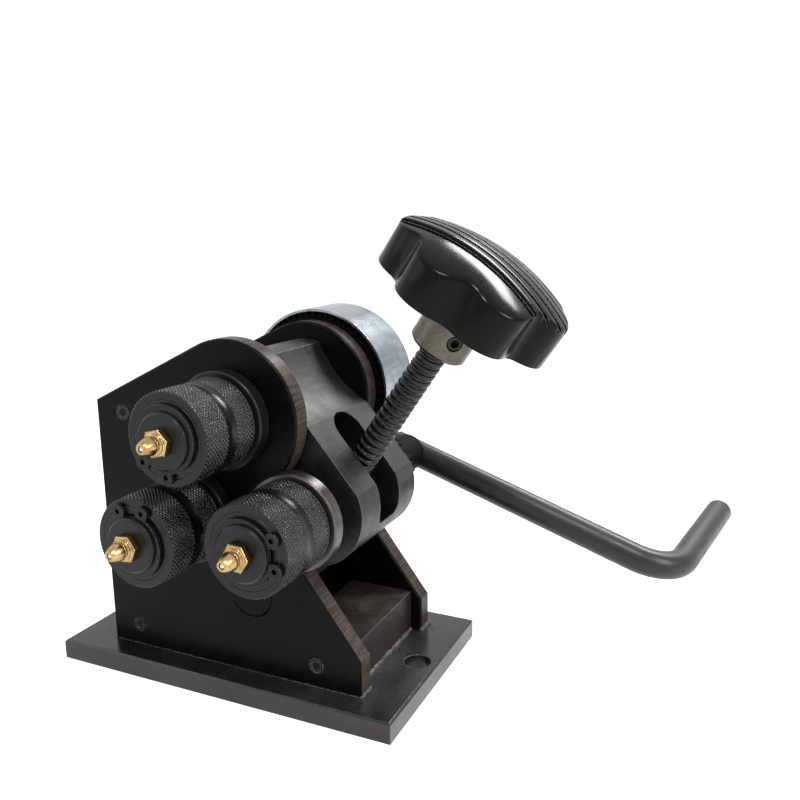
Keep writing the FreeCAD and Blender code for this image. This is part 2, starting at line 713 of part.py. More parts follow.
def make_left_unit():
    shaft = turned("left_shaft_body", shaft_profile(plate_out))
    grease_port(shaft, "left_port")
    place(shaft, left_x, ZERO, left_z)
    publish(shaft, "left_shaft")
    make_idle_roller("left", left_x, left_z)
    make_collar("left", left_x, left_z)
    make_circlip("left_circlip", shaft_radius, -clip_back - size("clip_thick"), left_x, left_z, -92.0)
    make_nipple("left", left_x, left_z, 6.0)


# Upper roller, driven through the gear on its shaft

def make_upper_unit():
    boss_back = gear_back + size("gear_boss")
    groove = boss_back + 0.1
    groove_end = groove + size("clip_thick") + 0.1
    rear = groove_end + 2.5
    bevel = size("shaft_chamfer")
    tail = [(shaft_radius, groove), (groove_radius, groove), (groove_radius, groove_end),
            (shaft_radius, groove_end), (shaft_radius, rear - bevel), (shaft_radius - bevel, rear)]
    shaft = turned("upper_shaft_body", shaft_profile(rear, tail))
    depth, width = size("key_depth"), size("key_width")
    front_key = -size("roller_front") + 7.0
    front_length = size("roller_front") - roller_back - 9.0
    rear_length = size("gear_width") + size("gear_boss") - 2.0
    seats, keys = [], []
    for spot, start, length in (("front", front_key, front_length),
                                ("rear", gear_front + 1.0, rear_length)):
        keys.append(block("key_" + spot, width, length, depth * 2, -width / 2, start,
                          shaft_radius - depth))
        seats.append(block("keyseat_" + spot, width, length, depth * 2, -width / 2, start,
                           shaft_radius - depth))
    shaft = cut("upper_shaft_keyed", shaft, fuse("upper_keyseats", seats))
    place(shaft, upper_x, ZERO, upper_z)
    publish(shaft, "upper_shaft")
    pair = group("shaft_key_pair", keys)
    place(pair, upper_x, ZERO, upper_z)
    publish(pair, "shaft_keys")
    blank = turned("upper_roller_blank", roller_profile(shaft_radius))
    keyway = block("roller_keyway", width, front_length + 9.0, depth * 2, -width / 2, front_key,
                   shaft_radius - depth)
    roller = cut("upper_roller_keyed", blank, keyway)
    place(roller, upper_x, ZERO, upper_z)
    publish(roller, "upper_roller")
    make_collar("upper", upper_x, upper_z)
    make_circlip("upper_circlip", shaft_radius, -clip_back - size("clip_thick"), upper_x, upper_z, 115.0)
    make_circlip("gear_circlip", shaft_radius, groove + 0.05, upper_x, upper_z, 200.0)
    make_nipple("upper", upper_x, upper_z, 14.0)
    inner = shaft_radius + size("running_gap")
    for label, start in (("upper_front_bush", -plate_out), ("upper_rear_bush", plate_in)):
        end = start + size("plate_thick")
        bush = turned(label + "_body", [
            (inner, start), (bush_radius, start), (bush_radius, end), (inner, end)])
        place(bush, upper_x, ZERO, upper_z)
        publish(bush, label)


# Gears

def tooth_flank(teeth, module, backlash):
    """Root, base and tip radii, and half the tooth's angle at any radius."""
    pitch = module * teeth / 2
    base = pitch * math.cos(math.radians(20.0))
    tip, foot = pitch + module, pitch - 1.25 * module

    def spread(radius):
        pressure = math.acos(min(1.0, base / radius))
        return math.tan(pressure) - pressure

    half_pitch = (math.pi * module / 2 - backlash) / (2 * pitch)
    half = half_pitch + spread(pitch)
    return foot, base, tip, lambda radius: half - spread(radius)


def gear_blank(name, teeth, first_tooth, length):
    """An involute spur gear's solid about Y, with a tooth at first_tooth degrees."""
    module, backlash = sheet.get("gear_module"), sheet.get("gear_backlash")
    foot, base, tip, half_angle = tooth_flank(teeth, module, backlash / 2)
    start = max(base, foot)
    middle = (start + tip) / 2

    def spot(radius, angle):
        return Vector(radius * math.cos(angle), 0, radius * math.sin(angle))

    corners = []
    for i in range(teeth):
        axis = math.radians(first_tooth) + 2 * math.pi * i / teeth
        low, mid, high = half_angle(start), half_angle(middle), half_angle(tip)
        corners += [spot(foot, axis - low), spot(start, axis - low), spot(middle, axis - mid),
                    spot(tip, axis - high), spot(tip, axis + high), spot(middle, axis + mid),
                    spot(start, axis + low), spot(foot, axis + low)]
    # Where the flank starts below its root circle two corners fall together.
    outline = [spot for spot, last in zip(corners, corners[-1:] + corners[:-1])
               if (spot - last).Length > 0.01]
    wire = Part.makePolygon(outline + outline[:1])
    thing = doc.addObject("Part::Feature", name)
    thing.Shape = Part.Face(wire).extrude(Vector(0, length, 0))
    return thing


def make_gears():
    """The crank's pinion and the gear it drives, in mesh on the line between their shafts."""
    towards_gear = 180.0 - sheet.get("link_angle")
    towards_pinion = -sheet.get("link_angle")
    pinion_count, gear_count = int(sheet.get("pinion_teeth")), int(sheet.get("gear_teeth"))
    width = sheet.get("gear_width")

    teeth = gear_blank("pinion_teeth_ring", pinion_count, towards_gear, width)
    place(teeth, ZERO, gear_front)
    hub = turned("pinion_hub", [
        (ZERO, gear_back - 1.0), (size("hub_radius"), gear_back - 1.0),
        (size("hub_radius"), size("hub_rear")), (ZERO, size("hub_rear"))])
    solid = fuse("pinion_solid", [teeth, hub])
    bore = cylinder("pinion_bore", size("journal_radius") + size("running_gap"),
                    size("journal_end") + size("hub_play"))
    saddle = doc.addObject("Part::Cylinder", "hub_saddle")
    bind(saddle, "Radius", size("crank_radius"))
    bind(saddle, "Height", size("hub_radius") * 4)
    along_rod = Rotation(Vector(0, 1, 0), 90.0 + sheet.get("crank_angle"))
    saddle.Placement = Placement(Vector(0, 0, 0), along_rod)
    angle = size("crank_angle")
    bind(saddle, "Placement.Base.x", -size("hub_radius") * 2 * cosine(angle))
    bind(saddle, "Placement.Base.y", size("crank_plane"))
    bind(saddle, "Placement.Base.z", size("hub_radius") * 2 * sine(angle))
    screw_hole = cylinder("hub_screw_hole", size("hub_screw_radius"), size("hub_radius") * 2, ZERO,
                          size("hub_screw_y"), ZERO, "Z")
    pinion = cut("pinion_bored", solid, fuse("pinion_tools", [bore, saddle, screw_hole]))
    place(pinion, right_x, ZERO, right_z)
    publish(pinion, "crank_pinion")

    screw, dog = size("hub_screw_radius"), size("hub_screw_dog")
    low = size("journal_radius") - size("hub_groove") + size("hub_play")
    high = size("journal_radius") + size("running_gap") * 2
    head = size("hub_radius") - size("set_screw_sink")
    plug = turned("hub_screw_blank", [
        (ZERO, low), (dog, low), (dog, high), (screw, high), (screw, head), (ZERO, head)], "XZ_Plane")
    socket = doc.addObject("Part::Prism", "hub_screw_socket")
    socket.Polygon = 6
    bind(socket, "Circumradius", screw / 2)
    bind(socket, "Height", screw)
    place(socket, z=head - screw * 0.75)
    plug = cut("hub_screw_plug", plug, socket)
    place(plug, right_x, size("hub_screw_y"), right_z)
    publish(plug, "hub_set_screw")

    ring = gear_blank("gear_teeth_ring", gear_count, towards_pinion + 180.0 / gear_count, width)
    place(ring, ZERO, gear_front)
    boss = cylinder("gear_boss_solid", size("gear_boss_radius"), size("gear_boss") + 1.0, ZERO,
                    gear_back - 1.0)
    solid = fuse("gear_solid", [ring, boss])
    key = block("gear_keyway", size("key_width"), size("gear_width") + size("gear_boss"),
                size("key_depth") * 2, -size("key_width") / 2, gear_front, shaft_radius - size("key_depth"))
    bore = cylinder("gear_bore", shaft_radius, size("gear_width") + size("gear_boss"), ZERO, gear_front)
    gear = cut("gear_bored", solid, fuse("gear_tools", [bore, key]))
    place(gear, upper_x, ZERO, upper_z)
    publish(gear, "drive_gear")


# Gear guard

def make_guard():
    """A pressed cup, open to the front, with screw tabs and a window for the pinion."""
    outer, wall = size("guard_radius"), size("guard_wall")
    front = plate_out + size("guard_front")
    back = front + size("guard_depth")
    bend = size("guard_bend")
    cup = turned("guard_cup", [
        (outer - wall, front), (outer, front), (outer, back - bend, bend),
        (outer - bend, back), (ZERO, back), (ZERO, back - wall),
        (outer - bend, back - wall, wall - bend), (outer - wall, back - bend)])
    tabs, holes = [], []
    half = size("guard_tab_width") / 2
    inner_reach = outer - wall / 2
    for i, angle in enumerate(GUARD_TABS):
        tab = block("guard_tab_%d" % i, size("guard_tab_reach") + wall / 2, wall, half * 2,
                    inner_reach, plate_out, -half)
        holder = group("guard_tab_holder_%d" % i, [tab])
        place(holder, turn=-angle)
        tabs.append(holder)
        reach = outer + size("guard_tab_reach") / 2
        hole = cylinder("guard_tab_hole_%d" % i, size("guard_screw_radius"), wall * 2,
                        reach * cosine(as_size(angle)), plate_out, reach * sine(as_size(angle)))
        holes.append(hole)
    window_turn, window_span = window_angles()
    sector = doc.addObject("Part::Cylinder", "guard_window")
    bind(sector, "Radius", outer + 5.0)
    bind(sector, "Height", size("gear_width") + size("gear_front") - size("guard_front") + 3.0)
    sector.Angle = window_span
    spin = Rotation(Vector(0, 1, 0), window_turn).multiply(Rotation(Vector(1, 0, 0), -90.0))
    sector.Placement = Placement(Vector(0, 0, 0), spin)
    bind(sector, "Placement.Base.y", front - 1.0)
    keep = cylinder("guard_window_core", outer - wall - 3.0, size("guard_depth"), ZERO, front - 2.0)
    window = cut("guard_window_ring", sector, keep)
    guard = cut("guard_solid", fuse("guard_sheet", [cup] + tabs), fuse("guard_tools", holes + [window]))
    place(guard, upper_x, ZERO, upper_z)
    publish(guard, "gear_guard")

    screws = []
    for i, (x, z) in enumerate(guard_screw_places()):
        shank = cylinder("guard_shank_%d" % i, size("guard_screw_radius"), size("plate_thick") + wall,
                         x, plate_in, z)
        head = turned("guard_head_%d" % i, [
            (ZERO, ZERO), (size("guard_head_radius"), ZERO),
            (size("guard_head_radius"), size("guard_head") - 0.6),
            (size("guard_head_radius") - 0.6, size("guard_head")), (ZERO, size("guard_head"))])
        place(head, x, plate_out + wall, z)
        socket = doc.addObject("Part::Prism", "guard_socket_%d" % i)
        socket.Polygon = 6
        bind(socket, "Circumradius", size("hex_key_flats") / (2 * cosine(as_size(30.0))))
        bind(socket, "Height", size("guard_head"))
        place(socket, x, plate_out + wall + size("guard_head") * 0.4, z, -90.0, Vector(1, 0, 0))
        screws.append(cut("guard_screw_%d" % i, fuse("guard_screw_solid_%d" % i, [shank, head]), socket))
    publish(group("guard_screw_set", screws), "guard_screws")


def window_angles():
    """Where the window starts, and how wide it is, so that the pinion clears it on its swing."""
    reach, rim = link.value, sheet.get("guard_radius")
    tip = sheet.get("gear_module") * (sheet.get("pinion_teeth") / 2 + 1)
    spread = math.degrees(math.acos((reach ** 2 + rim ** 2 - tip ** 2) / (2 * reach * rim)))
    low = sheet.get("link_angle") + sheet.get("swing_in") + spread + 5.0
    high = sheet.get("link_angle") - sheet.get("swing_in") - spread - 3.0
    return high, low - high


# Swing arm

def make_arm():
    """The forged arm: rounded about both shafts, scooped flank, flat back and a cross slot."""
    body = new_body("swing_arm_body")
    outline = new_sketch(body, "XZ_Plane", "arm_outline")
    top, end, flat = size("arm_top_radius"), size("arm_end_radius"), size("arm_flat")
    thick = size("plate_gap") - size("side_gap") * 2
    lean = (top - end) / link
    upright = root(1.0 - lean * lean)
    corner_s = -size("scoop_start")
    corner_n = root(top * top - size("scoop_start") * size("scoop_start"))
    flat_end = link + root(end * end - flat * flat)
    dip_s = size("scoop_end") * 0.25
    scoop = as_size(38.0)
    draw_outline(outline, [
        (top * lean, -top * upright), (link + end * lean, -end * upright, end),
        (link + end, ZERO, end), (flat_end, flat), (size("scoop_end"), flat, -scoop),
        (dip_s, size("arm_waist"), -scoop * 1.5), (corner_s, corner_n, top),
        (-top, ZERO, top)])
    draw_circle(outline, ZERO, ZERO, bush_radius)
    draw_circle(outline, link, ZERO, shaft_radius + size("running_gap"))
    pad(body, outline, thick, name="arm_block")
    slot = new_sketch(body, "XY_Plane", "arm_slot", top + 5.0)
    half = size("slot_width") / 2
    middle = thick / 2
    start = size("slot_start") + half
    stop = link + end - size("slot_web")
    corner = size("slot_corner")
    draw_outline(slot, [
        (start, -middle - half), (stop - corner, -middle - half, corner),
        (stop, -middle - half + corner), (stop, -middle + half - corner, corner),
        (stop - corner, -middle + half), (start, -middle + half, half),
        (start - half, -middle, half)])
    pocket(body, slot, name="arm_slot_cut")
    place(body, upper_x, thick / 2, upper_z, sheet.get("link_angle"))
    publish(body, "swing_arm")

    inner = shaft_radius + size("running_gap")
    bushes = []
    length = thick / 2 - size("slot_width") / 2
    for name, start in (("arm_bush_front", -thick / 2), ("arm_bush_back", thick / 2 - length)):
        bush = turned(name, [(inner, start), (bush_radius, start), (bush_radius, start + length),
                             (inner, start + length)])
        bushes.append(bush)
    pair = group("arm_bush_pair", bushes)
    place(pair, upper_x, ZERO, upper_z)
    publish(pair, "arm_bushes")


# Right roller and its shaft, which is also the screw's nut

def make_right_unit():
    shoulder, rear = gear_front - 0.3, size("journal_end")
    journal, bevel = size("journal_radius"), size("shaft_chamfer")
    neck = journal - size("hub_groove")
    half = size("hub_screw_dog") + size("hub_play")
    groove, groove_end = size("hub_screw_y") - half, size("hub_screw_y") + half
    tail = [(shaft_radius, shoulder - bevel), (shaft_radius - bevel, shoulder), (journal, shoulder),
            (journal, groove), (neck, groove), (neck, groove_end), (journal, groove_end),
            (journal, rear - bevel), (journal - bevel, rear)]
    blank = turned("right_shaft_body", shaft_profile(rear, tail))
    grease_port(blank, "right_port")
    crossing = new_sketch(blank, "XY_Plane", "right_crossing", shaft_radius + 1.0)
    draw_circle(crossing, ZERO, ZERO, size("screw_radius") + size("screw_play"))
    pocket(blank, crossing, name="right_crossing_cut")
    place(blank, right_x, ZERO, right_z, screw_lean)
    publish(blank, "right_shaft")
    make_idle_roller("right", right_x, right_z)
    make_collar("right", right_x, right_z)
    make_circlip("right_circlip", shaft_radius, -clip_back - size("clip_thick"), right_x, right_z, -4.0)
    make_nipple("right", right_x, right_z, -4.0)


# Crank

def make_crank():
    """A bent rod that lies across the hub's end and is welded to it on both sides."""
    rod = new_body("crank_rod")
    path = new_sketch(rod, "XY_Plane", "crank_path")
    reach, bend, grip = size("crank_reach"), size("crank_bend"), size("grip_length")
    turn = 90.0 - size("grip_open")
    half = Size(math.tan(math.radians(turn.value / 2)), "tan(%s)" % (turn / 2).text)
    setback = bend * half
    lean = size("grip_open")
    points = [(-size("crank_start"), ZERO), (reach - setback, ZERO),
              (reach + setback * sine(lean), setback * cosine(lean)),
              (reach + grip * sine(lean), grip * cosine(lean))]
    spots = [Vector(as_size(x).value, as_size(y).value, 0) for x, y in points]
    centre = spots[1] + Vector(0, bend.value, 0)
    end_angle = -math.pi / 2 + math.radians(turn.value)
    path.addGeometry(Part.LineSegment(spots[0], spots[1]), False)
    path.addGeometry(Part.ArcOfCircle(Part.Circle(centre, Vector(0, 0, 1), bend.value),
                                      -math.pi / 2, end_angle), False)
    path.addGeometry(Part.LineSegment(spots[2], spots[3]), False)
    path.addConstraint(Sketcher.Constraint("Coincident", 0, 2, 1, 1))
    path.addConstraint(Sketcher.Constraint("Coincident", 1, 2, 2, 1))
    number = path.addConstraint(Sketcher.Constraint("Radius", 1, bend.value))
    bind(path, "Constraints[%d]" % number, bend)
    pin_point(path, 0, 1, *points[0])
    pin_point(path, 0, 2, *points[1])
    pin_point(path, 2, 1, *points[2])
    pin_point(path, 2, 2, *points[3])
    section = new_sketch(rod, "YZ_Plane", "crank_section", -size("crank_start"))
    draw_circle(section, ZERO, ZERO, size("crank_radius"))
    doc.recompute()
    pipe = rod.newObject("PartDesign::AdditivePipe", "crank_pipe")
    pipe.Profile = section
    pipe.Spine = (path, ["Edge1", "Edge2", "Edge3"])
    doc.recompute()
    ends = ["Edge%d" % (i + 1) for i, edge in enumerate(pipe.Shape.Edges) if edge.Closed
            and min((edge.CenterOfMass - spots[0]).Length, (edge.CenterOfMass - spots[3]).Length) < 1.0]
    rounding = rod.newObject("PartDesign::Fillet", "crank_end")
    rounding.Base = (pipe, ends)
    bind(rounding, "Radius", size("grip_round"))
    doc.recompute()

    lift = Rotation(Vector(0, 1, 0), sheet.get("crank_angle"))
    twist = Rotation(Vector(1, 0, 0), sheet.get("grip_twist"))
    rod.Placement = Placement(Vector(0, 0, 0), lift.multiply(twist))
    place_rod = group("crank_rod_holder", [rod])
    place(place_rod, right_x, size("crank_plane"), right_z)
    publish(place_rod, "crank_handle")

    leg, rear = size("crank_weld"), size("hub_rear")
    wide = size("hub_radius") - 0.2
    cone = turned("crank_bead", [
        (ZERO, rear), (wide, rear), (wide - leg * 0.8, rear + leg), (ZERO, rear + leg)])
    place(cone, right_x, ZERO, right_z)
    publish(cut("crank_weld_trimmed", cone, place_rod), "crank_weld")


# Adjusting screw, its trunnion and the knob

def make_trunnion():
    radius, bevel = size("trunnion_radius"), size("plate_bevel")
    end = plate_out - 0.1
    bar = turned("trunnion_body", [
        (ZERO, -end), (radius - bevel, -end), (radius, -end + bevel), (radius, end - bevel),
        (radius - bevel, end), (ZERO, end)])
    hole = new_sketch(bar, "XY_Plane", "trunnion_hole", radius + 1.0)
    draw_circle(hole, ZERO, ZERO, size("screw_journal") + size("running_gap"))
    pocket(bar, hole, name="trunnion_hole_cut")
    place(bar, trunnion_x, ZERO, trunnion_z, screw_lean)
    publish(bar, "trunnion_bar")


def on_screw(thing, along=ZERO, spin=0.0):
    """Set a piece that is built about Z on the screw's axis, along it from the trunnion."""
    lean = Rotation(Vector(0, 1, 0), screw_lean)
    thing.Placement = Placement(Vector(0, 0, 0), lean.multiply(Rotation(Vector(0, 0, 1), spin)))
    rise = (right_z - trunnion_z) / screw_reach
    drift = (right_x - trunnion_x) / screw_reach
    bind(thing, "Placement.Base.x", trunnion_x + drift * along)
    bind(thing, "Placement.Base.z", trunnion_z + rise * along)
    return thing


def make_screw():
    core, spigot = size("screw_journal"), size("screw_spigot")
    radius, tail = size("screw_radius"), -size("screw_tail")
    washer_low = -size("trunnion_radius") - 0.2 - size("washer_thick")
    groove_top = washer_low - 0.1
    groove_low = groove_top - size("clip_thick")
    thread_end, top = size("screw_thread_end"), knob_base + size("screw_bite")
    screw = turned("screw_body", [
        (ZERO, tail), (core - 0.6, tail), (core, tail + 0.6), (core, groove_low),
        (core - size("clip_depth"), groove_low), (core - size("clip_depth"), groove_top),
        (core, groove_top), (core, size("screw_shoulder")), (radius, size("screw_shoulder")),
        (radius, thread_end), (spigot, thread_end), (spigot, top), (ZERO, top)], "XZ_Plane")
    publish(on_screw(screw), "adjusting_screw")
    washer = turned("screw_washer_body", [
        (core + 0.1, washer_low), (core + 3.6, washer_low), (core + 3.6, washer_low + size("washer_thick")),
        (core + 0.1, washer_low + size("washer_thick"))], "XZ_Plane")
    publish(on_screw(washer), "screw_washer")
    clip_low = groove_low + 0.1
    clip = turned("screw_clip_body", [
        (core - size("clip_depth") + 0.05, clip_low), (core + 2.0, clip_low),
        (core + 2.0, clip_low + size("clip_thick") - 0.2),
        (core - size("clip_depth") + 0.05, clip_low + size("clip_thick") - 0.2)], "XZ_Plane")
    gap = block("screw_clip_gap", core * 3, as_size(2.4), size("clip_thick") * 2, ZERO,
                as_size(-1.2), clip_low - 0.2)
    publish(on_screw(cut("screw_clip", clip, gap)), "screw_circlip")


def make_knob_collar():
    radius, length = size("knob_collar_radius"), size("knob_rise") + size("knob_recess")
    spigot = size("screw_spigot")
    blank = turned("knob_collar_blank", [
        (spigot, ZERO), (radius - 1.0, ZERO), (radius, as_size(1.0)), (radius, length), (spigot, length)],
        "XZ_Plane")
    height, screw = size("set_screw_height"), size("set_screw_radius")
    socket_turn = Rotation(Vector(0, 0, 1), sheet.get("set_screw_turn"))
    hole = cylinder("set_screw_hole", screw, radius * 2, along="Z")
    hole.Placement = Placement(Vector(0, 0, 0), socket_turn.multiply(Rotation(Vector(0, 1, 0), 90.0)))
    bind(hole, "Placement.Base.z", height)
    collar = cut("knob_collar_drilled", blank, hole)
    publish(on_screw(collar, size("screw_thread_end")), "knob_collar")

    plug = turned("set_screw_blank", [
        (ZERO, spigot), (screw - 0.6, spigot), (screw, spigot + 0.6),
        (screw, radius - size("set_screw_sink") - 0.5), (screw - 0.5, radius - size("set_screw_sink")),
        (ZERO, radius - size("set_screw_sink"))], "XZ_Plane")
    socket = doc.addObject("Part::Prism", "set_screw_socket")
    socket.Polygon = 6
    bind(socket, "Circumradius", size("hex_key_flats") / (2 * cosine(as_size(30.0))))
    bind(socket, "Height", radius)
    place(socket, z=radius - size("set_screw_sink") - 2.5)
    plug = cut("set_screw_plug", plug, socket)
    plug.Placement = Placement(Vector(0, 0, 0), socket_turn.multiply(Rotation(Vector(0, 1, 0), 90.0)))
    bind(plug, "Placement.Base.z", height)
    holder = group("set_screw_holder", [plug])
    publish(on_screw(holder, size("screw_thread_end")), "knob_set_screw")


def lobed_face(inset):
    """The knob's outline of lobes and valleys, all arcs that run into each other smoothly."""
    lobes = int(sheet.get("knob_lobes"))
    outer, inner = sheet.get("knob_radius") - inset, sheet.get("knob_valley") - inset
    lobe = sheet.get("knob_lobe_radius") - inset
    step = math.pi / lobes
    crest = outer - lobe
    # The valley's circle touches the lobe's circle from outside.
    hollow = (crest ** 2 - (lobe - inner) ** 2) / (2 * (crest * math.cos(step) - inner + lobe))
    dip = hollow - inner

    def spot(radius, angle):
        return Vector(radius * math.cos(angle), radius * math.sin(angle), 0)

    share = lobe / (lobe + dip)
    edges = []
    for i in range(lobes):
        top = 2 * step * i
        before = spot(crest, top) + (spot(hollow, top - step) - spot(crest, top)) * share
        after = spot(crest, top) + (spot(hollow, top + step) - spot(crest, top)) * share
        nextup = spot(crest, top + 2 * step)
        beyond = nextup + (spot(hollow, top + step) - nextup) * share
        edges.append(Part.Arc(before, spot(outer, top), after).toShape())
        edges.append(Part.Arc(after, spot(inner, top + step), beyond).toShape())
    return Part.Face(Part.Wire(edges))


def make_knob():
    """A moulded lobed knob: hollow skirt, domed crown with parallel ridges, inner hub."""
    reach, wall = sheet.get("knob_radius"), sheet.get("knob_wall")
    raised = sheet.get("ridge_height")
    height = sheet.get("knob_height") - raised
    rise = height - sheet.get("knob_skirt")
    dome_radius = (reach ** 2 + rise ** 2) / (2 * rise)
    middle = Vector(0, 0, height - dome_radius)
    prism = lobed_face(0.0).extrude(Vector(0, 0, height + raised))
    shell = prism.common(Part.makeSphere(dome_radius, middle))
    width, gap, count = sheet.get("ridge_width"), sheet.get("ridge_gap"), int(sheet.get("ridge_count"))
    start = -(count * (width + gap) - gap) / 2
    slabs = [Part.makeBox(4 * reach, width, 2 * height, Vector(-2 * reach, start + i * (width + gap), 1.0))
             for i in range(count)]
    crown = prism.common(Part.makeSphere(dome_radius + raised, middle))
    shell = shell.fuse([crown.common(slab) for slab in slabs])
    ceiling = Part.makeSphere(dome_radius - wall, middle)
    hub = Part.makeCylinder(sheet.get("knob_hub_radius"), height)
    room = lobed_face(wall).extrude(Vector(0, 0, height)).common(ceiling).cut(hub)
    recess = Part.makeCylinder(sheet.get("knob_hub_radius") + 0.01, sheet.get("knob_recess"))
    spigot = Part.makeCylinder(sheet.get("screw_spigot"), sheet.get("screw_bite"))
    knob = doc.addObject("Part::Feature", "knob_shell")
    knob.Shape = shell.cut([room, recess, spigot]).removeSplitter()
    publish(on_screw(knob, knob_base, sheet.get("knob_turn")), "adjusting_knob")


def check_document():
    """Stop before anything is written if an object failed or a piece isn't sound."""
    doc.recompute()
    for item in doc.Objects:
        if "Invalid" in item.State or "Error" in item.State:
            raise RuntimeError("%s did not build: %s" % (item.Name, item.State))
    for item in nodes:
        shape = item.Shape
        if shape.isNull() or not shape.isValid() or not shape.Solids:
            raise RuntimeError("%s is not a sound solid" % item.Label)


make_base()
make_side_plate("front_plate", False)
make_side_plate("rear_plate", True)
make_spacers()
make_dowels()
make_welds()
make_left_unit()
make_upper_unit()
make_gears()
make_guard()
make_arm()
make_right_unit()
make_crank()
make_trunnion()
make_screw()
make_knob_collar()
make_knob()
check_document()

os.makedirs("parts", exist_ok=True)
for piece in nodes:
    piece.Shape.exportStep("parts/%s.step" % piece.Label)
    print(piece.Label, len(piece.Shape.Solids), round(piece.Shape.Volume, 1))
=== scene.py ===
import logging
import math
from dataclasses import dataclass, field
from enum import Enum
from typing import Callable, Optional, Sequence

import bmesh
import bpy
from mathutils import Matrix, Vector
from mathutils.geometry import delaunay_2d_cdt
from mathutils.kdtree import KDTree


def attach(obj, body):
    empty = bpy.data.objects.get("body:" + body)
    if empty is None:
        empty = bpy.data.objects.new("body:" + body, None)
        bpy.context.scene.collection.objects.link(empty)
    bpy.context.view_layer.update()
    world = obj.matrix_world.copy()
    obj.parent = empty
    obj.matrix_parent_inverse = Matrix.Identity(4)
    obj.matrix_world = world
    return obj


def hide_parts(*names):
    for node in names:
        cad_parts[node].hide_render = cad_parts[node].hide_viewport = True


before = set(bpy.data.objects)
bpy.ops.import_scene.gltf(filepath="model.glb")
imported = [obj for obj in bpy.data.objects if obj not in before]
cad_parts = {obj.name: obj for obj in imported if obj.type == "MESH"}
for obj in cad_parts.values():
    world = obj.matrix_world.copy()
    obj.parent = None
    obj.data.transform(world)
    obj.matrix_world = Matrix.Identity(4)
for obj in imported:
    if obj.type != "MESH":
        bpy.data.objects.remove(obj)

log = logging.getLogger("ring_roller")

Colour = tuple[float, float, float]
Point = tuple[float, float, float]
MM = 0.001


def write_bounds() -> None:
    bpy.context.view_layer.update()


class Grain(Enum):
    """How a surface was worked, which sets the direction of its fine marks."""

    NONE = "none"
    BRUSHED = "brushed"
    SAWN = "sawn"
    UPRIGHT = "upright"
    TURNED = "turned"
    CAST = "cast"


@dataclass(frozen=True)
class Axle:
    """A shaft's axis, which runs along Y.

    Attributes:
        x: Place along the base in metres.
        z: Height in metres.
    """

    x: float
    z: float


UPPER = Axle(5.9 * MM, 108.2 * MM)
LEFT = Axle(-11.0 * MM, 69.4 * MM)
RIGHT = Axle(UPPER.x + 45.0 * MM * math.cos(math.radians(50.2)),
             UPPER.z - 45.0 * MM * math.sin(math.radians(50.2)))
TRUNNION = Axle(12.2 * MM, 40.4 * MM)


@dataclass(frozen=True)
class Finish:
    """What a material looks like.

    Attributes:
        name: Material name, which also names the slot.
        base: Main colour, linear.
        second: Colour of the cloudy patches.
        edge: Colour of worn edges; on the knob and the screw's thread it is a painted highlight.
        metallic: 0 for paint and plastic, 1 for bare metal.
        roughness: Mean roughness.
        spread: How far the roughness wanders.
        patch_scale: Size of the patches, in repeats per metre.
        patch_amount: Strength of the patches, 0 to 1.
        wear_and_glint: Strength of the edge colour, 0 to 1, which is wear and, on the knob and the screw, a
            painted highlight.
        wear_and_glint_radius: Reach of the edge colour in metres.
        grain: Direction of the fine marks.
        grain_scale: Density of the fine marks, per metre.
        grain_colour: How far the marks change the colour.
        bump: Depth of the fine marks in metres.
        dust_and_sheen: Strength of the lighter colour on upward faces: dust specks and a painted sheen.
        spangle: Strength of zinc flakes.
        specular: Specular IOR level, low for dead black finishes.
        cut: Colour of the faces that are cut across cut_axis, or None.
        cut_axis: Normal of the faces that aren't cut ones.
        cut_reach: Half the box whose inside has no cut faces, such as the walls of a hole.
        painted_shade_inside: Whether the inside of a cup about the upper shaft's axis gets painted shade: near
            black and without reflections.
        rim: Radius of that inside.
        look: Material name where one slot has more than one look.
    """

    name: str
    base: Colour
    second: Colour
    edge: Colour = (0.5, 0.48, 0.45)
    metallic: float = 0.0
    roughness: float = 0.5
    spread: float = 0.1
    patch_scale: float = 60.0
    patch_amount: float = 0.5
    wear_and_glint: float = 0.0
    wear_and_glint_radius: float = 0.4 * MM
    grain: Grain = Grain.NONE
    grain_scale: float = 900.0
    grain_colour: float = 0.0
    bump: float = 0.0
    dust_and_sheen: float = 0.0
    spangle: float = 0.0
    specular: float = 0.5
    cut: Optional[Colour] = None
    cut_axis: Point = (0.0, 1.0, 0.0)
    cut_reach: tuple[float, float] = (0.0, 0.0)
    painted_shade_inside: bool = False
    rim: float = 32.15 * MM
    look: str = ""


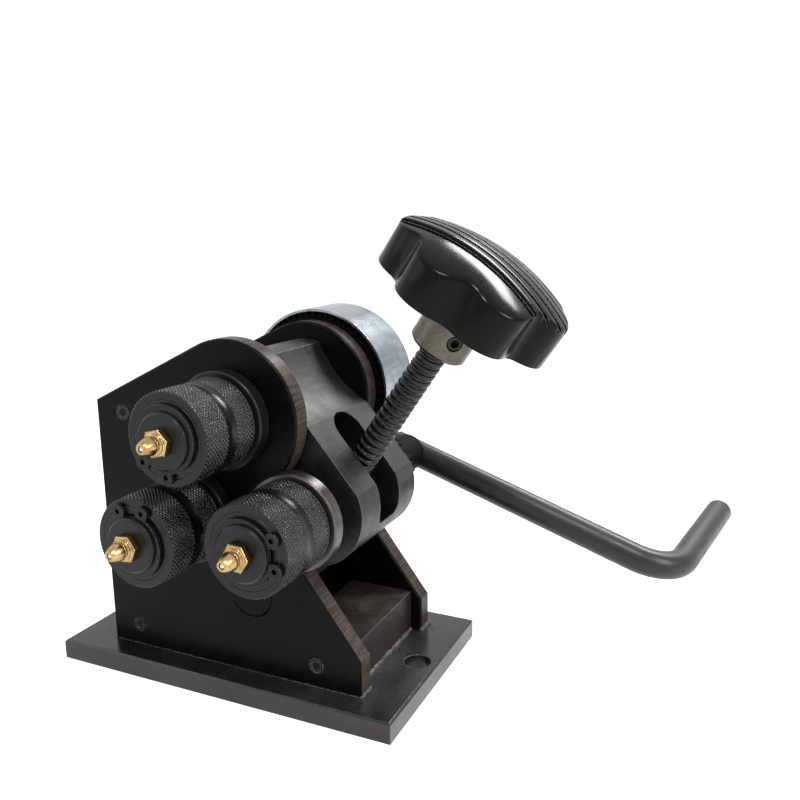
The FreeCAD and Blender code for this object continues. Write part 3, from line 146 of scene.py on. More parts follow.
class Slot(Enum):
    """The material slots with their finishes."""

    BASE = Finish("painted_base", (0.0105, 0.0112, 0.0128), (0.030, 0.0295, 0.0305), roughness=0.27,
                  specular=0.5, edge=(0.50, 0.48, 0.47), wear_and_glint=0.9, wear_and_glint_radius=0.35 * MM, grain=Grain.CAST,
                  bump=0.00001, dust_and_sheen=0.14, cut=(0.013, 0.0062, 0.0052), cut_axis=(0.0, 0.0, 1.0),
                  cut_reach=(74.5 * MM, 42.0 * MM))
    PLATE = Finish("dark_plate", (0.0026, 0.0030, 0.0029), (0.0050, 0.0055, 0.0053), roughness=0.36,
                   specular=0.09, edge=(0.20, 0.18, 0.165), wear_and_glint=0.8, wear_and_glint_radius=0.3 * MM, grain=Grain.SAWN,
                   grain_scale=1700.0, bump=0.00002, cut=(0.075, 0.060, 0.052))
    PIN = Finish("dark_plate", (0.0030, 0.0034, 0.0033), (0.0050, 0.0055, 0.0053), roughness=0.34,
                 specular=0.12, edge=(0.55, 0.56, 0.56), wear_and_glint=1.0, wear_and_glint_radius=0.5 * MM, grain=Grain.CAST,
                 look="pin_end")
    BLOCK = Finish("dark_plate", (0.017, 0.0135, 0.0125), (0.045, 0.036, 0.031), roughness=0.42,
                   specular=0.25, edge=(0.22, 0.19, 0.17), wear_and_glint=0.7, grain=Grain.UPRIGHT, grain_colour=0.6,
                   bump=0.00001, dust_and_sheen=0.6, look="spacer_block")
    WELD = Finish("weld_metal", (0.040, 0.037, 0.035), (0.16, 0.15, 0.14), roughness=0.45, specular=0.35,
                  edge=(0.5, 0.47, 0.44), wear_and_glint=0.3, patch_scale=420.0, patch_amount=0.7, grain=Grain.CAST,
                  bump=0.00004)
    BRIGHT = Finish("bright_steel", (0.32, 0.31, 0.30), (0.16, 0.155, 0.15), metallic=1.0,
                    roughness=0.3, grain=Grain.TURNED, grain_colour=0.3, bump=0.000004, wear_and_glint=0.3)
    BLACK = Finish("black_steel", (0.0075, 0.0075, 0.0085), (0.018, 0.017, 0.018), roughness=0.34,
                   specular=0.28, edge=(0.20, 0.20, 0.21), wear_and_glint=0.5, grain=Grain.CAST, bump=0.000006)
    CLIP = Finish("black_steel", (0.014, 0.014, 0.016), (0.030, 0.029, 0.030), metallic=0.4, roughness=0.3,
                  specular=0.3, edge=(0.35, 0.35, 0.36), wear_and_glint=0.7, wear_and_glint_radius=0.2 * MM, look="clip_steel")
    # The light edge colour is partly wear and partly painted glints on the thread crests.
    SCREW = Finish("black_steel", (0.0038, 0.0042, 0.0060), (0.0090, 0.0095, 0.0125), metallic=0.1,
                   roughness=0.24, specular=0.40, edge=(0.62, 0.60, 0.64), wear_and_glint=0.9, wear_and_glint_radius=0.22 * MM,
                   look="threaded_steel")
    COLLAR = Finish("bright_steel", (0.095, 0.089, 0.084), (0.050, 0.045, 0.041), metallic=0.9,
                    roughness=0.34, grain=Grain.TURNED, grain_colour=0.4, edge=(0.45, 0.43, 0.40), wear_and_glint=0.5,
                    look="blued_collar")
    OLIVE = Finish("bright_steel", (0.105, 0.099, 0.078), (0.062, 0.057, 0.045), metallic=0.9, roughness=0.34,
                   edge=(0.5, 0.47, 0.40), wear_and_glint=0.6, grain=Grain.CAST, grain_colour=0.3, look="knob_collar")
    ROLLER = Finish("roller_steel", (0.0060, 0.0060, 0.0062), (0.014, 0.0138, 0.0135), metallic=0.2,
                    roughness=0.32, specular=0.36, edge=(0.42, 0.39, 0.37), wear_and_glint=0.9,
                    wear_and_glint_radius=0.26 * MM, grain=Grain.TURNED, grain_colour=0.3, bump=0.000004)
    BRASS = Finish("brass", (0.50, 0.350, 0.150), (0.28, 0.150, 0.055), metallic=1.0, roughness=0.26,
                   edge=(0.88, 0.72, 0.42), wear_and_glint=0.6, patch_scale=240.0, patch_amount=0.9,
                   grain=Grain.TURNED, grain_colour=0.15)
    BALL = Finish("ball_steel", (0.7, 0.7, 0.7), (0.5, 0.5, 0.5), metallic=1.0, roughness=0.12)
    BRONZE = Finish("bronze", (0.35, 0.22, 0.09), (0.2, 0.12, 0.05), metallic=1.0, roughness=0.4)
    ZINC = Finish("zinc_sheet", (0.30, 0.345, 0.37), (0.125, 0.155, 0.175), metallic=1.0, roughness=0.22,
                  specular=0.1, edge=(0.85, 0.88, 0.92), wear_and_glint=0.7, spangle=0.3, patch_scale=45.0,
                  patch_amount=0.5, grain=Grain.BRUSHED, grain_scale=90.0, grain_colour=0.6, painted_shade_inside=True)
    # The arm's upper faces get a painted sheen from the lighter upward-face colour.
    ARM = Finish("forged_arm", (0.010, 0.0095, 0.0093), (0.062, 0.057, 0.054), roughness=0.43, spread=0.16,
                 specular=0.36, edge=(0.42, 0.39, 0.36), wear_and_glint=0.9, wear_and_glint_radius=0.5 * MM, grain=Grain.BRUSHED,
                 grain_scale=1300.0, grain_colour=1.0, bump=0.00008, patch_scale=150.0, patch_amount=0.9,
                 dust_and_sheen=0.45)
    # Painted shade: the gear and the pinion inside the guard are near black with almost no reflection.
    GEAR_PAINTED_SHADE = Finish("gear_steel", (0.0030, 0.0030, 0.0031), (0.0045, 0.0042, 0.0040), roughness=0.6,
                  specular=0.05, wear_and_glint=0.0)
    CRANK = Finish("crank_steel", (0.012, 0.0118, 0.0122), (0.021, 0.0205, 0.0205), roughness=0.40,
                   specular=0.42, edge=(0.3, 0.3, 0.3), wear_and_glint=0.3, grain=Grain.CAST, bump=0.000012)
    # Painted highlight: the light grey edge colour draws bright lines along the knob's rim and ridges.
    KNOB = Finish("black_plastic", (0.0011, 0.0012, 0.0016), (0.0018, 0.0019, 0.0024), roughness=0.20,
                  specular=0.13, edge=(0.60, 0.62, 0.66), wear_and_glint=0.9, wear_and_glint_radius=0.45 * MM,
                  grain=Grain.CAST, bump=0.000002)


# Colour of dust and of painted sheen on upward faces.
DUST_AND_SHEEN = (0.3, 0.28, 0.26)
# Colour of the painted shade inside the guard's cup.
UNLIT = (0.003, 0.003, 0.003)
STRETCH = {Grain.BRUSHED: (1.0, 0.12, 1.0), Grain.SAWN: (1.0, 0.05, 1.0),
           Grain.UPRIGHT: (1.0, 1.0, 0.08), Grain.CAST: (1.0, 1.0, 1.0)}


class Tree:
    """Short calls for filling a node tree.

    Args:
        tree: The shader or geometry tree to fill.
    """

    def __init__(self, tree: bpy.types.NodeTree) -> None:
        self.tree = tree

    def add(self, kind: str, feeds: Optional[dict[object, object]] = None,
            **settings: object) -> bpy.types.Node:
        """Add a node, set its properties and then feed its inputs, each given by name or number."""
        node = self.tree.nodes.new(kind)
        for name, value in settings.items():
            setattr(node, name, value)
        for socket, value in (feeds or {}).items():
            self.feed(node.inputs[socket], value)
        return node

    def feed(self, socket: bpy.types.NodeSocket, value: object) -> None:
        """Link a socket to another, or set it when value is plain."""
        if isinstance(value, bpy.types.NodeSocket):
            self.tree.links.new(value, socket)
        elif value is not None:
            socket.default_value = value

    def math(self, operation: str, *values: object, clamp: bool = False) -> bpy.types.NodeSocket:
        """Add a math node and return its result."""
        node = self.add("ShaderNodeMath", dict(enumerate(values)), operation=operation, use_clamp=clamp)
        return node.outputs[0]

    def plus(self, first: object, second: object, clamp: bool = False) -> bpy.types.NodeSocket:
        """Add two numbers."""
        return self.math("ADD", first, second, clamp=clamp)

    def minus(self, first: object, second: object, clamp: bool = False) -> bpy.types.NodeSocket:
        """Take second from first."""
        return self.math("SUBTRACT", first, second, clamp=clamp)

    def times(self, first: object, *others: object) -> bpy.types.NodeSocket:
        """Multiply numbers one after the other."""
        for other in others:
            first = self.math("MULTIPLY", first, other)
        return first

    def vector(self, operation: str, *values: object, scale: object = None) -> bpy.types.NodeSocket:
        """Add a vector math node and return its result, which is a number for a dot product or a length."""
        node = self.add("ShaderNodeVectorMath", dict(enumerate(values)), operation=operation)
        if scale is not None:
            self.feed(node.inputs["Scale"], scale)
        return node.outputs["Value" if operation in ("DOT_PRODUCT", "LENGTH") else "Vector"]

    def split(self, value: object) -> Sequence[bpy.types.NodeSocket]:
        """Split a vector into its three numbers."""
        return self.add("ShaderNodeSeparateXYZ", {0: value}).outputs

    def combine(self, x: object, y: object, z: object) -> bpy.types.NodeSocket:
        """Join three numbers into a vector."""
        return self.add("ShaderNodeCombineXYZ", {0: x, 1: y, 2: z}).outputs[0]

    def place(self) -> bpy.types.NodeSocket:
        """Return the object coordinates."""
        return self.add("ShaderNodeTexCoord").outputs["Object"]

    def mix(self, factor: object, first: object, second: object) -> bpy.types.NodeSocket:
        """Mix two colours and return the result."""
        node = self.add("ShaderNodeMix", {0: factor, 6: paint(first), 7: paint(second)}, data_type="RGBA")
        return node.outputs[2]

    def noise(self, where: object, scale: object, detail: float = 3.0,
              roughness: float = 0.55) -> bpy.types.NodeSocket:
        """Add a noise texture and return its value."""
        return self.add("ShaderNodeTexNoise", {"Vector": where, "Scale": scale, "Detail": detail,
                                               "Roughness": roughness}).outputs[0]

    def band(self, value: object, low: object, high: object) -> bpy.types.NodeSocket:
        """Stretch low to high over 0 to 1, with soft ends."""
        return self.add("ShaderNodeMapRange", {0: value, 1: low, 2: high},
                        interpolation_type="SMOOTHSTEP").outputs[0]


def paint(value: object) -> object:
    """Give a plain colour its alpha."""
    return (*value, 1.0) if isinstance(value, tuple) and len(value) == 3 else value


def scaled(colour: Colour, factor: float) -> Colour:
    """Make a colour lighter or darker, up to white."""
    return tuple(min(1.0, part * factor) for part in colour)


Results = dict[str, bpy.types.NodeSocket]


@dataclass
class SharedEffects:
    """Node groups that several materials use. They are built on first use."""

    made: dict[str, bpy.types.NodeTree] = field(default_factory=dict)

    def group(self, name: str, inputs: dict[str, object], outputs: Sequence[str],
              fill: Callable[[Tree, Sequence], Results]) -> bpy.types.NodeTree:
        """Return the named group, built the first time it is asked for.

        Args:
            name: The group's name.
            inputs: Each input with its default, a number or a vector.
            outputs: Names of the outputs. Normal is a vector and the others are numbers.
            fill: Adds the nodes and returns what each output gets.

        Returns:
            The group's tree.
        """
        if name not in self.made:
            tree = bpy.data.node_groups.new(name, "ShaderNodeTree")
            for label, default in inputs.items():
                kind = "NodeSocketVector" if isinstance(default, tuple) else "NodeSocketFloat"
                tree.interface.new_socket(label, in_out="INPUT", socket_type=kind).default_value = default
            for label in outputs:
                kind = "NodeSocketVector" if label == "Normal" else "NodeSocketFloat"
                tree.interface.new_socket(label, in_out="OUTPUT", socket_type=kind)
            kit = Tree(tree)
            kit.add("NodeGroupOutput", fill(kit, kit.add("NodeGroupInput").outputs))
            self.made[name] = tree
        return self.made[name]

    def edge_wear_and_glint(self) -> bpy.types.NodeTree:
        """A mask of outer edges, for wear and painted highlights, and a softened normal."""
        def fill(kit: Tree, given: Sequence) -> Results:
            soft = kit.add("ShaderNodeBevel", {"Radius": given["Radius"]}, samples=6).outputs[0]
            sharp = kit.add("ShaderNodeNewGeometry").outputs["Normal"]
            turn = kit.minus(1.0, kit.vector("DOT_PRODUCT", soft, sharp))
            broken = kit.minus(kit.noise(kit.place(), 700.0, 4.0, 0.65), 0.55)
            return {"Mask": kit.band(kit.plus(turn, kit.times(broken, 0.35)), 0.06, 0.3), "Normal": soft}

        return self.group("edge_wear_and_glint", {"Radius": 0.4 * MM}, ("Mask", "Normal"), fill)

    def patches(self) -> bpy.types.NodeTree:
        """Cloudy patches with smaller ones inside."""
        def fill(kit: Tree, given: Sequence) -> Results:
            place = kit.place()
            large = kit.noise(place, given["Scale"], 5.0, 0.6)
            small = kit.noise(place, kit.times(given["Scale"], 7.0), 3.0, 0.6)
            return {"Mask": kit.band(kit.plus(kit.times(large, 0.75), kit.times(small, 0.25)), 0.38, 0.66)}

        return self.group("patches", {"Scale": 60.0}, ("Mask",), fill)

    def streaks(self) -> bpy.types.NodeTree:
        """Fine straight marks, stretched by the Stretch vector."""
        def fill(kit: Tree, given: Sequence) -> Results:
            pulled = kit.vector("MULTIPLY", kit.place(), given["Stretch"])
            return {"Value": kit.noise(pulled, given["Scale"], 4.0, 0.7)}

        return self.group("streaks", {"Stretch": (1.0, 1.0, 1.0), "Scale": 900.0}, ("Value",), fill)

    def turning(self) -> bpy.types.NodeTree:
        """Fine rings about an axis along Y through Centre."""
        def fill(kit: Tree, given: Sequence) -> Results:
            x, y, z = kit.split(kit.vector("SUBTRACT", kit.place(), given["Centre"]))
            across = kit.math("SQRT", kit.plus(kit.math("POWER", x, 2.0), kit.math("POWER", z, 2.0)))
            return {"Value": kit.noise(kit.combine(across, y, 0.0), given["Scale"], 3.0, 0.7)}

        return self.group("turning", {"Centre": (0.0, 0.0, 0.0), "Scale": 1500.0}, ("Value",), fill)

    def upward_dust_and_sheen(self) -> bpy.types.NodeTree:
        """A mask on faces that look up: fine dust specks, and a cloudy veil that paints a sheen on them."""
        def fill(kit: Tree, given: Sequence) -> Results:
            upward = kit.band(kit.split(kit.add("ShaderNodeNewGeometry").outputs["Normal"])[2], 0.3, 0.95)
            place = kit.place()
            specks = kit.band(kit.noise(place, 1400.0, 2.0, 0.8), 0.58, 0.75)
            veil = kit.band(kit.noise(place, 55.0, 4.0, 0.6), 0.35, 0.75)
            return {"Mask": kit.times(upward, kit.plus(kit.times(specks, 0.6), kit.times(veil, 0.4)))}

        return self.group("upward_dust_and_sheen", {}, ("Mask",), fill)

    def cut_faces(self) -> bpy.types.NodeTree:
        """A mask of the faces outside Reach that don't look along Axis."""
        def fill(kit: Tree, given: Sequence) -> Results:
            texture = kit.add("ShaderNodeTexCoord").outputs
            along = kit.vector("DOT_PRODUCT", texture["Normal"], given["Axis"])
            place = kit.vector("ABSOLUTE", texture["Object"])
            past = kit.split(kit.vector("SUBTRACT", place, given["Reach"]))
            outer = kit.math("GREATER_THAN", kit.math("MAXIMUM", past[0], past[1]), 0.0)
            return {"Mask": kit.times(kit.band(kit.math("ABSOLUTE", along), 0.7, 0.5), outer)}

        return self.group("cut_faces", {"Axis": (0.0, 1.0, 0.0), "Reach": (0.0, 0.0, 0.0)}, ("Mask",), fill)

    def painted_shade_faces(self) -> bpy.types.NodeTree:
        """A mask of the inside of a cup about an axis along Y through Centre, whose mouth looks along -Y, where
        painted shade goes.
        """
        def fill(kit: Tree, given: Sequence) -> Results:
            texture = kit.add("ShaderNodeTexCoord").outputs
            arm = kit.vector("SUBTRACT", texture["Object"], given["Centre"])
            flat = kit.vector("MULTIPLY", arm, (1.0, 0.0, 1.0))
            outward = kit.vector("DOT_PRODUCT", texture["Normal"], kit.vector("NORMALIZE", flat))
            floor = kit.times(kit.math("LESS_THAN", kit.split(texture["Normal"])[1], -0.5),
                              kit.math("LESS_THAN", kit.vector("LENGTH", flat), given["Rim"]))
            return {"Mask": kit.math("MAXIMUM", kit.band(outward, 0.0, -0.3), floor)}

        return self.group("painted_shade_faces", {"Centre": (0.0, 0.0, 0.0), "Rim": 30.0 * MM}, ("Mask",), fill)

    def flakes(self) -> bpy.types.NodeTree:
        """Zinc flakes: a value per crystal, softened by cloud."""
        def fill(kit: Tree, given: Sequence) -> Results:
            place = kit.place()
            cells = kit.add("ShaderNodeTexVoronoi", {"Vector": place, "Scale": given["Scale"]})
            crystal = kit.add("ShaderNodeSeparateColor", {0: cells.outputs["Color"]}).outputs[0]
            cloud = kit.noise(place, 90.0, 4.0, 0.6)
            return {"Value": kit.plus(kit.times(crystal, 0.5), kit.times(cloud, 0.5))}

        return self.group("flakes", {"Scale": 260.0}, ("Value",), fill)


@dataclass
class MaterialShop:
    """Makes each finish once, and again for each shaft axis that its turning marks go round."""

    effects: SharedEffects = field(default_factory=SharedEffects)
    made: dict[str, bpy.types.Material] = field(default_factory=dict)

    def get(self, slot: Slot, about: Optional[Axle] = None) -> bpy.types.Material:
        """Return the slot's material.

        Args:
            slot: The piece's material slot.
            about: Axis of the turning marks, for turned pieces.

        Returns:
            The material, shared by every piece with the same slot and axis.
        """
        finish = slot.value
        turned = finish.grain is Grain.TURNED and about is not None
        name = finish.look or finish.name
        if turned:
            name = "%s_%d_%d" % (name, about.x * 1e4, about.z * 1e4)
        if name not in self.made:
            self.made[name] = self.build(name, finish, about)
        return self.made[name]

    def build(self, name: str, finish: Finish, about: Optional[Axle]) -> bpy.types.Material:
        """Build one material from the shared effects."""
        material = bpy.data.materials.new(name)
        material.use_nodes = True
        material.diffuse_color = (*finish.base, 1.0)
        kit = Tree(material.node_tree)
        kit.tree.nodes.clear()
        clouds = self.use(kit, self.effects.patches(), Scale=finish.patch_scale)["Mask"]
        edges = self.use(kit, self.effects.edge_wear_and_glint(), Radius=finish.wear_and_glint_radius)
        marks = self.marks(kit, finish, about)
        colour = self.face_colour(kit, finish, clouds, marks)
        # Edge colour: wear, and on the knob's rim and ridges and the screw's thread crests a painted highlight.
        colour = kit.mix(kit.times(edges["Mask"], finish.wear_and_glint), colour, finish.edge)
        metallic = finish.metallic
        # Painted shade: the inside of the guard's cup is made near black and loses its metal reflections.
        if finish.painted_shade_inside:
            inside = self.use(kit, self.effects.painted_shade_faces(), Centre=(UPPER.x, 0.0, UPPER.z),
                              Rim=finish.rim)["Mask"]
            colour = kit.mix(inside, colour, UNLIT)
            metallic = kit.minus(finish.metallic, inside, clamp=True)
        normal = edges["Normal"]
        if marks is not None and finish.bump > 0.0:
            normal = kit.add("ShaderNodeBump", {"Distance": finish.bump, "Height": marks,
                                                "Normal": normal}).outputs[0]
        wander = kit.times(kit.minus(clouds, 0.5), finish.spread)
        surface = kit.add("ShaderNodeBsdfPrincipled", {
            "Base Color": colour, "Metallic": metallic, "Specular IOR Level": finish.specular,
            "Roughness": kit.plus(wander, finish.roughness, clamp=True), "Normal": normal})
        kit.add("ShaderNodeOutputMaterial", {"Surface": surface.outputs[0]})
        return material

    def face_colour(self, kit: Tree, finish: Finish, clouds: bpy.types.NodeSocket,
                    marks: Optional[bpy.types.NodeSocket]) -> bpy.types.NodeSocket:
        """Return the colour of the faces, without the edge colour of wear and painted highlights."""
        colour = kit.mix(kit.times(clouds, finish.patch_amount), finish.base, finish.second)
        if marks is not None and finish.grain_colour > 0.0:
            shade = kit.mix(kit.band(marks, 0.35, 0.65), scaled(finish.base, 0.55), scaled(finish.base, 1.5))
            colour = kit.mix(finish.grain_colour, colour, shade)
        if finish.spangle > 0.0:
            flakes = self.use(kit, self.effects.flakes())["Value"]
            colour = kit.mix(kit.times(kit.band(flakes, 0.3, 0.7), finish.spangle), colour, finish.second)
        # Lighter upward faces: dust specks and a painted sheen.
        if finish.dust_and_sheen > 0.0:
            dust_and_sheen = self.use(kit, self.effects.upward_dust_and_sheen())["Mask"]
            colour = kit.mix(kit.times(dust_and_sheen, finish.dust_and_sheen), colour, DUST_AND_SHEEN)
        if finish.cut is not None:
            sides = self.use(kit, self.effects.cut_faces(), Axis=finish.cut_axis,
                             Reach=(*finish.cut_reach, 0.0))
            sawn = kit.mix(kit.band(marks, 0.32, 0.68), scaled(finish.cut, 0.4), scaled(finish.cut, 1.5))
            sawn = kit.mix(kit.times(clouds, 0.5), sawn, finish.base)
            colour = kit.mix(sides["Mask"], colour, sawn)
        return colour

    def marks(self, kit: Tree, finish: Finish, about: Optional[Axle]) -> Optional[bpy.types.NodeSocket]:
        """Return the fine marks of the finish's grain, or None."""
        if finish.grain is Grain.NONE:
            return None
        if finish.grain is Grain.TURNED:
            axle = about or UPPER
            found = self.use(kit, self.effects.turning(), Centre=(axle.x, 0.0, axle.z),
                             Scale=finish.grain_scale)
        else:
            found = self.use(kit, self.effects.streaks(), Stretch=STRETCH[finish.grain],
                             Scale=finish.grain_scale)
        return found["Value"]

    @staticmethod
    def use(kit: Tree, group: bpy.types.NodeTree, **inputs: object) -> Sequence[bpy.types.NodeSocket]:
        """Put a shared group into a material and return its outputs."""
        return kit.add("ShaderNodeGroup", inputs, node_tree=group).outputs


class Growth(Tree):
    """A geometry tree that adds repeated shapes to the geometry that it is given.

    Args:
        name: Tree name.
        sizes: Names of the inputs, by socket type.
    """

    def __init__(self, name: str, **sizes: Sequence[str]) -> None:
        super().__init__(bpy.data.node_groups.new(name, "GeometryNodeTree"))
        face = self.tree.interface
        face.new_socket("Geometry", in_out="INPUT", socket_type="NodeSocketGeometry")
        for kind, labels in {**sizes, "Material": ("Material",)}.items():
            for label in labels:
                face.new_socket(label, in_out="INPUT", socket_type="NodeSocket" + kind)
        face.new_socket("Geometry", in_out="OUTPUT", socket_type="NodeSocketGeometry")
        self.given = self.add("NodeGroupInput").outputs

    def index(self) -> bpy.types.NodeSocket:
        """Return each copy's number."""
        return self.add("GeometryNodeInputIndex").outputs[0]

    def smooth(self, geometry: object) -> bpy.types.NodeSocket:
        """Shade a shape smooth."""
        return self.add("GeometryNodeSetShadeSmooth", {"Geometry": geometry}).outputs[0]

    def scatter(self, count: object, place: object, shape: object, turn: object,
                scale: object) -> bpy.types.NodeSocket:
        """Put a copy of shape on each of count points."""
        points = self.add("GeometryNodePoints", {"Count": count, "Position": place}).outputs[0]
        rotation = self.add("FunctionNodeEulerToRotation", {0: turn}).outputs[0]
        return self.add("GeometryNodeInstanceOnPoints", {"Points": points, "Instance": shape,
                                                         "Rotation": rotation, "Scale": scale}).outputs[0]

    def close(self, grown: object) -> "Growth":
        """Make the copies real and join them to the given geometry, with their material."""
        real = self.add("GeometryNodeRealizeInstances", {0: grown}).outputs[0]
        dressed = self.add("GeometryNodeSetMaterial", {"Geometry": real, "Material": self.given["Material"]})
        join = self.add("GeometryNodeJoinGeometry", {0: dressed.outputs[0]})
        self.feed(join.inputs[0], self.given["Geometry"])
        self.add("NodeGroupOutput", {0: join.outputs[0]})
        return self


def grow(name: str, start: bpy.types.Mesh,
         steps: Sequence[tuple[Growth, dict[str, object]]]) -> bpy.types.Mesh:
    """Run geometry trees one after the other and keep the result as a plain mesh.

    Args:
        name: Name of the new mesh.
        start: Mesh that the first tree is given.
        steps: Each tree with its inputs.

    Returns:
        The finished mesh.
    """
    seed = bpy.data.objects.new(name + "_seed", start)
    bpy.context.scene.collection.objects.link(seed)
    for growth, inputs in steps:
        modifier = seed.modifiers.new("growth", "NODES")
        modifier.node_group = growth.tree
        for item in growth.tree.interface.items_tree:
            if item.in_out == "INPUT" and item.name in inputs:
                modifier[item.identifier] = inputs[item.name]
    graph = bpy.context.evaluated_depsgraph_get()
    mesh = bpy.data.meshes.new_from_object(seed.evaluated_get(graph), preserve_all_data_layers=True,
                                           depsgraph=graph)
    mesh.name = name
    seed.modifiers.clear()
    bpy.data.objects.remove(seed)
    return mesh


def knurl_growth() -> Growth:
    """Rows of small pyramids round an axle along Y, each row half a step on from the last."""
    kit = Growth("knurl_band", Int=("Around", "Rows"), Float=("Start", "Length", "Root", "Height"),
                 Vector=("Centre",))
    around, rows, root = (kit.given[name] for name in ("Around", "Rows", "Root"))
    index = kit.index()
    row = kit.math("FLOOR", kit.math("DIVIDE", kit.plus(index, 0.5), around))
    column = kit.minus(index, kit.times(row, around))
    pitch = kit.math("DIVIDE", 2.0 * math.pi, around)
    shift = kit.times(kit.math("MODULO", row, 2.0), 0.5)
    angle = kit.times(kit.plus(column, shift), pitch)
    step = kit.math("DIVIDE", kit.given["Length"], kit.plus(rows, 1.0))
    along = kit.plus(kit.given["Start"], kit.times(kit.plus(row, 1.0), step))
    spot = kit.combine(kit.times(root, kit.math("COSINE", angle)), along,
                       kit.times(root, kit.math("SINE", angle)))
    place = kit.vector("ADD", spot, kit.given["Centre"])
    stud = kit.add("GeometryNodeMeshCone", {"Vertices": 4, "Side Segments": 1, "Radius Top": 0.0,
                                            "Radius Bottom": 1.0, "Depth": 1.0}, fill_type="NGON").outputs[0]
    half = kit.times(root, pitch, 0.5)
    turn = kit.combine(0.0, kit.minus(math.pi / 2, angle), 0.0)
    return kit.close(kit.scatter(kit.times(around, rows), place, stud, turn,
                                 kit.combine(half, step, kit.given["Height"])))


def thread_growth() -> Growth:
    """A rounded ridge wound about Z as a right-hand thread, pointed at both ends."""
    kit = Growth("screw_thread", Float=("Turns", "Pitch", "Core", "Height", "Width", "Start"), Int=("Steps",))
    turns = kit.given["Turns"]
    grid = kit.add("GeometryNodeMeshGrid", {"Size X": 1.0, "Size Y": 1.0, "Vertices Y": 11,
                                            "Vertices X": kit.times(turns, kit.given["Steps"])}).outputs[0]
    parts = kit.split(kit.add("GeometryNodeInputPosition").outputs[0])
    wound = kit.plus(parts[0], 0.5)
    round_ridge = kit.times(kit.plus(parts[1], 0.5), 2.0 * math.pi)
    fade = kit.times(kit.band(wound, 0.0, 0.02), kit.band(wound, 1.0, 0.98))
    rise = kit.math("SINE", round_ridge)
    full = kit.times(kit.math("SIGN", rise), kit.math("POWER", kit.math("ABSOLUTE", rise), 0.7))
    reach = kit.plus(kit.given["Core"], kit.times(full, kit.given["Height"], fade))
    aside = kit.times(kit.math("COSINE", round_ridge), kit.given["Width"], fade)
    length = kit.times(wound, turns, kit.given["Pitch"])
    along = kit.plus(kit.plus(length, kit.given["Start"]), kit.times(aside, 0.5))
    angle = kit.times(wound, turns, 2.0 * math.pi)
    spot = kit.combine(kit.times(reach, kit.math("COSINE", angle)), kit.times(reach, kit.math("SINE", angle)),
                       along)
    moved = kit.add("GeometryNodeSetPosition", {"Geometry": grid, "Position": spot})
    return kit.close(kit.smooth(moved.outputs[0]))


def ripple_growth() -> Growth:
    """Overlapping drops of weld along a line, each a little different."""
    kit = Growth("weld_ripples", Vector=("From", "To", "Size"), Int=("Count", "Seed"), Float=("Jitter",))
    count, seed = kit.given["Count"], kit.given["Seed"]
    share = kit.math("DIVIDE", kit.plus(kit.index(), 0.5), count)
    run = kit.vector("SUBTRACT", kit.given["To"], kit.given["From"])
    line = kit.vector("ADD", kit.given["From"], kit.vector("SCALE", run, scale=share))
    jitter = kit.add("FunctionNodeRandomValue", {"Min": (-1.0, -1.0, -1.0), "Seed": seed},
                     data_type="FLOAT_VECTOR").outputs[0]
    place = kit.vector("ADD", line, kit.vector("SCALE", jitter, scale=kit.given["Jitter"]))
    growth = kit.add("FunctionNodeRandomValue", {2: 0.75, 3: 1.25, "Seed": kit.plus(seed, 1.0)},
                     data_type="FLOAT").outputs[1]
    drop = kit.add("GeometryNodeMeshIcoSphere", {"Radius": 1.0, "Subdivisions": 2}).outputs[0]
    return kit.close(kit.scatter(count, place, kit.smooth(drop), kit.vector("SCALE", jitter, scale=0.15),
                                 kit.vector("SCALE", kit.given["Size"], scale=growth)))


def spin_mesh(name: str, profile: Sequence[tuple[float, float]], segments: int = 96,
              axle: Optional[Axle] = None) -> bpy.types.Mesh:
    """Turn a closed profile of radius and height into a solid.

    Args:
        name: Name of the mesh.
        profile: Corners in millimetres. They run along Y where there is an axle, and along Z where not.
        segments: Facets round the axis.
        axle: Axis along Y.

    Returns:
        A closed mesh with sharp corners and smooth rounds.
    """
    build = bmesh.new()
    rings = []
    for radius, height in profile:
        ring = []
        for i in range(segments if radius > 1e-6 else 1):
            angle = 2.0 * math.pi * i / segments
            x, z = radius * math.cos(angle) * MM, radius * math.sin(angle) * MM
            if axle is None:
                ring.append(build.verts.new((x, z, height * MM)))
            else:
                ring.append(build.verts.new((axle.x + x, height * MM, axle.z + z)))
        rings.append(ring)
    for first, second in zip(rings, rings[1:] + rings[:1]):
        for i in range(segments):
            j = (i + 1) % segments
            corners = []
            for vert in (first[i % len(first)], first[j % len(first)], second[j % len(second)],
                         second[i % len(second)]):
                if vert not in corners:
                    corners.append(vert)
            if len(corners) > 2:
                build.faces.new(corners)
    return finish_mesh(name, build)


def finish_mesh(name: str, build: bmesh.types.BMesh, sharp: float = 32.0) -> bpy.types.Mesh:
    """Merge, turn the faces outwards and shade smooth between corners sharper than sharp degrees."""
    bmesh.ops.remove_doubles(build, verts=build.verts, dist=1e-6)
    bmesh.ops.recalc_face_normals(build, faces=build.faces)
    mesh = bpy.data.meshes.new(name)
    build.to_mesh(mesh)
    build.free()
    mesh.shade_smooth()
    mesh.set_sharp_from_angle(angle=math.radians(sharp))
    return mesh


def face_outwards(mesh: bpy.types.Mesh) -> bpy.types.Mesh:
    """Merge a grown mesh's doubles and turn its closed shells outwards."""
    build = bmesh.new()
    build.from_mesh(mesh)
    bmesh.ops.remove_doubles(build, verts=build.verts, dist=2e-7)
    bmesh.ops.recalc_face_normals(build, faces=build.faces)
    build.to_mesh(mesh)
    build.free()
    return mesh


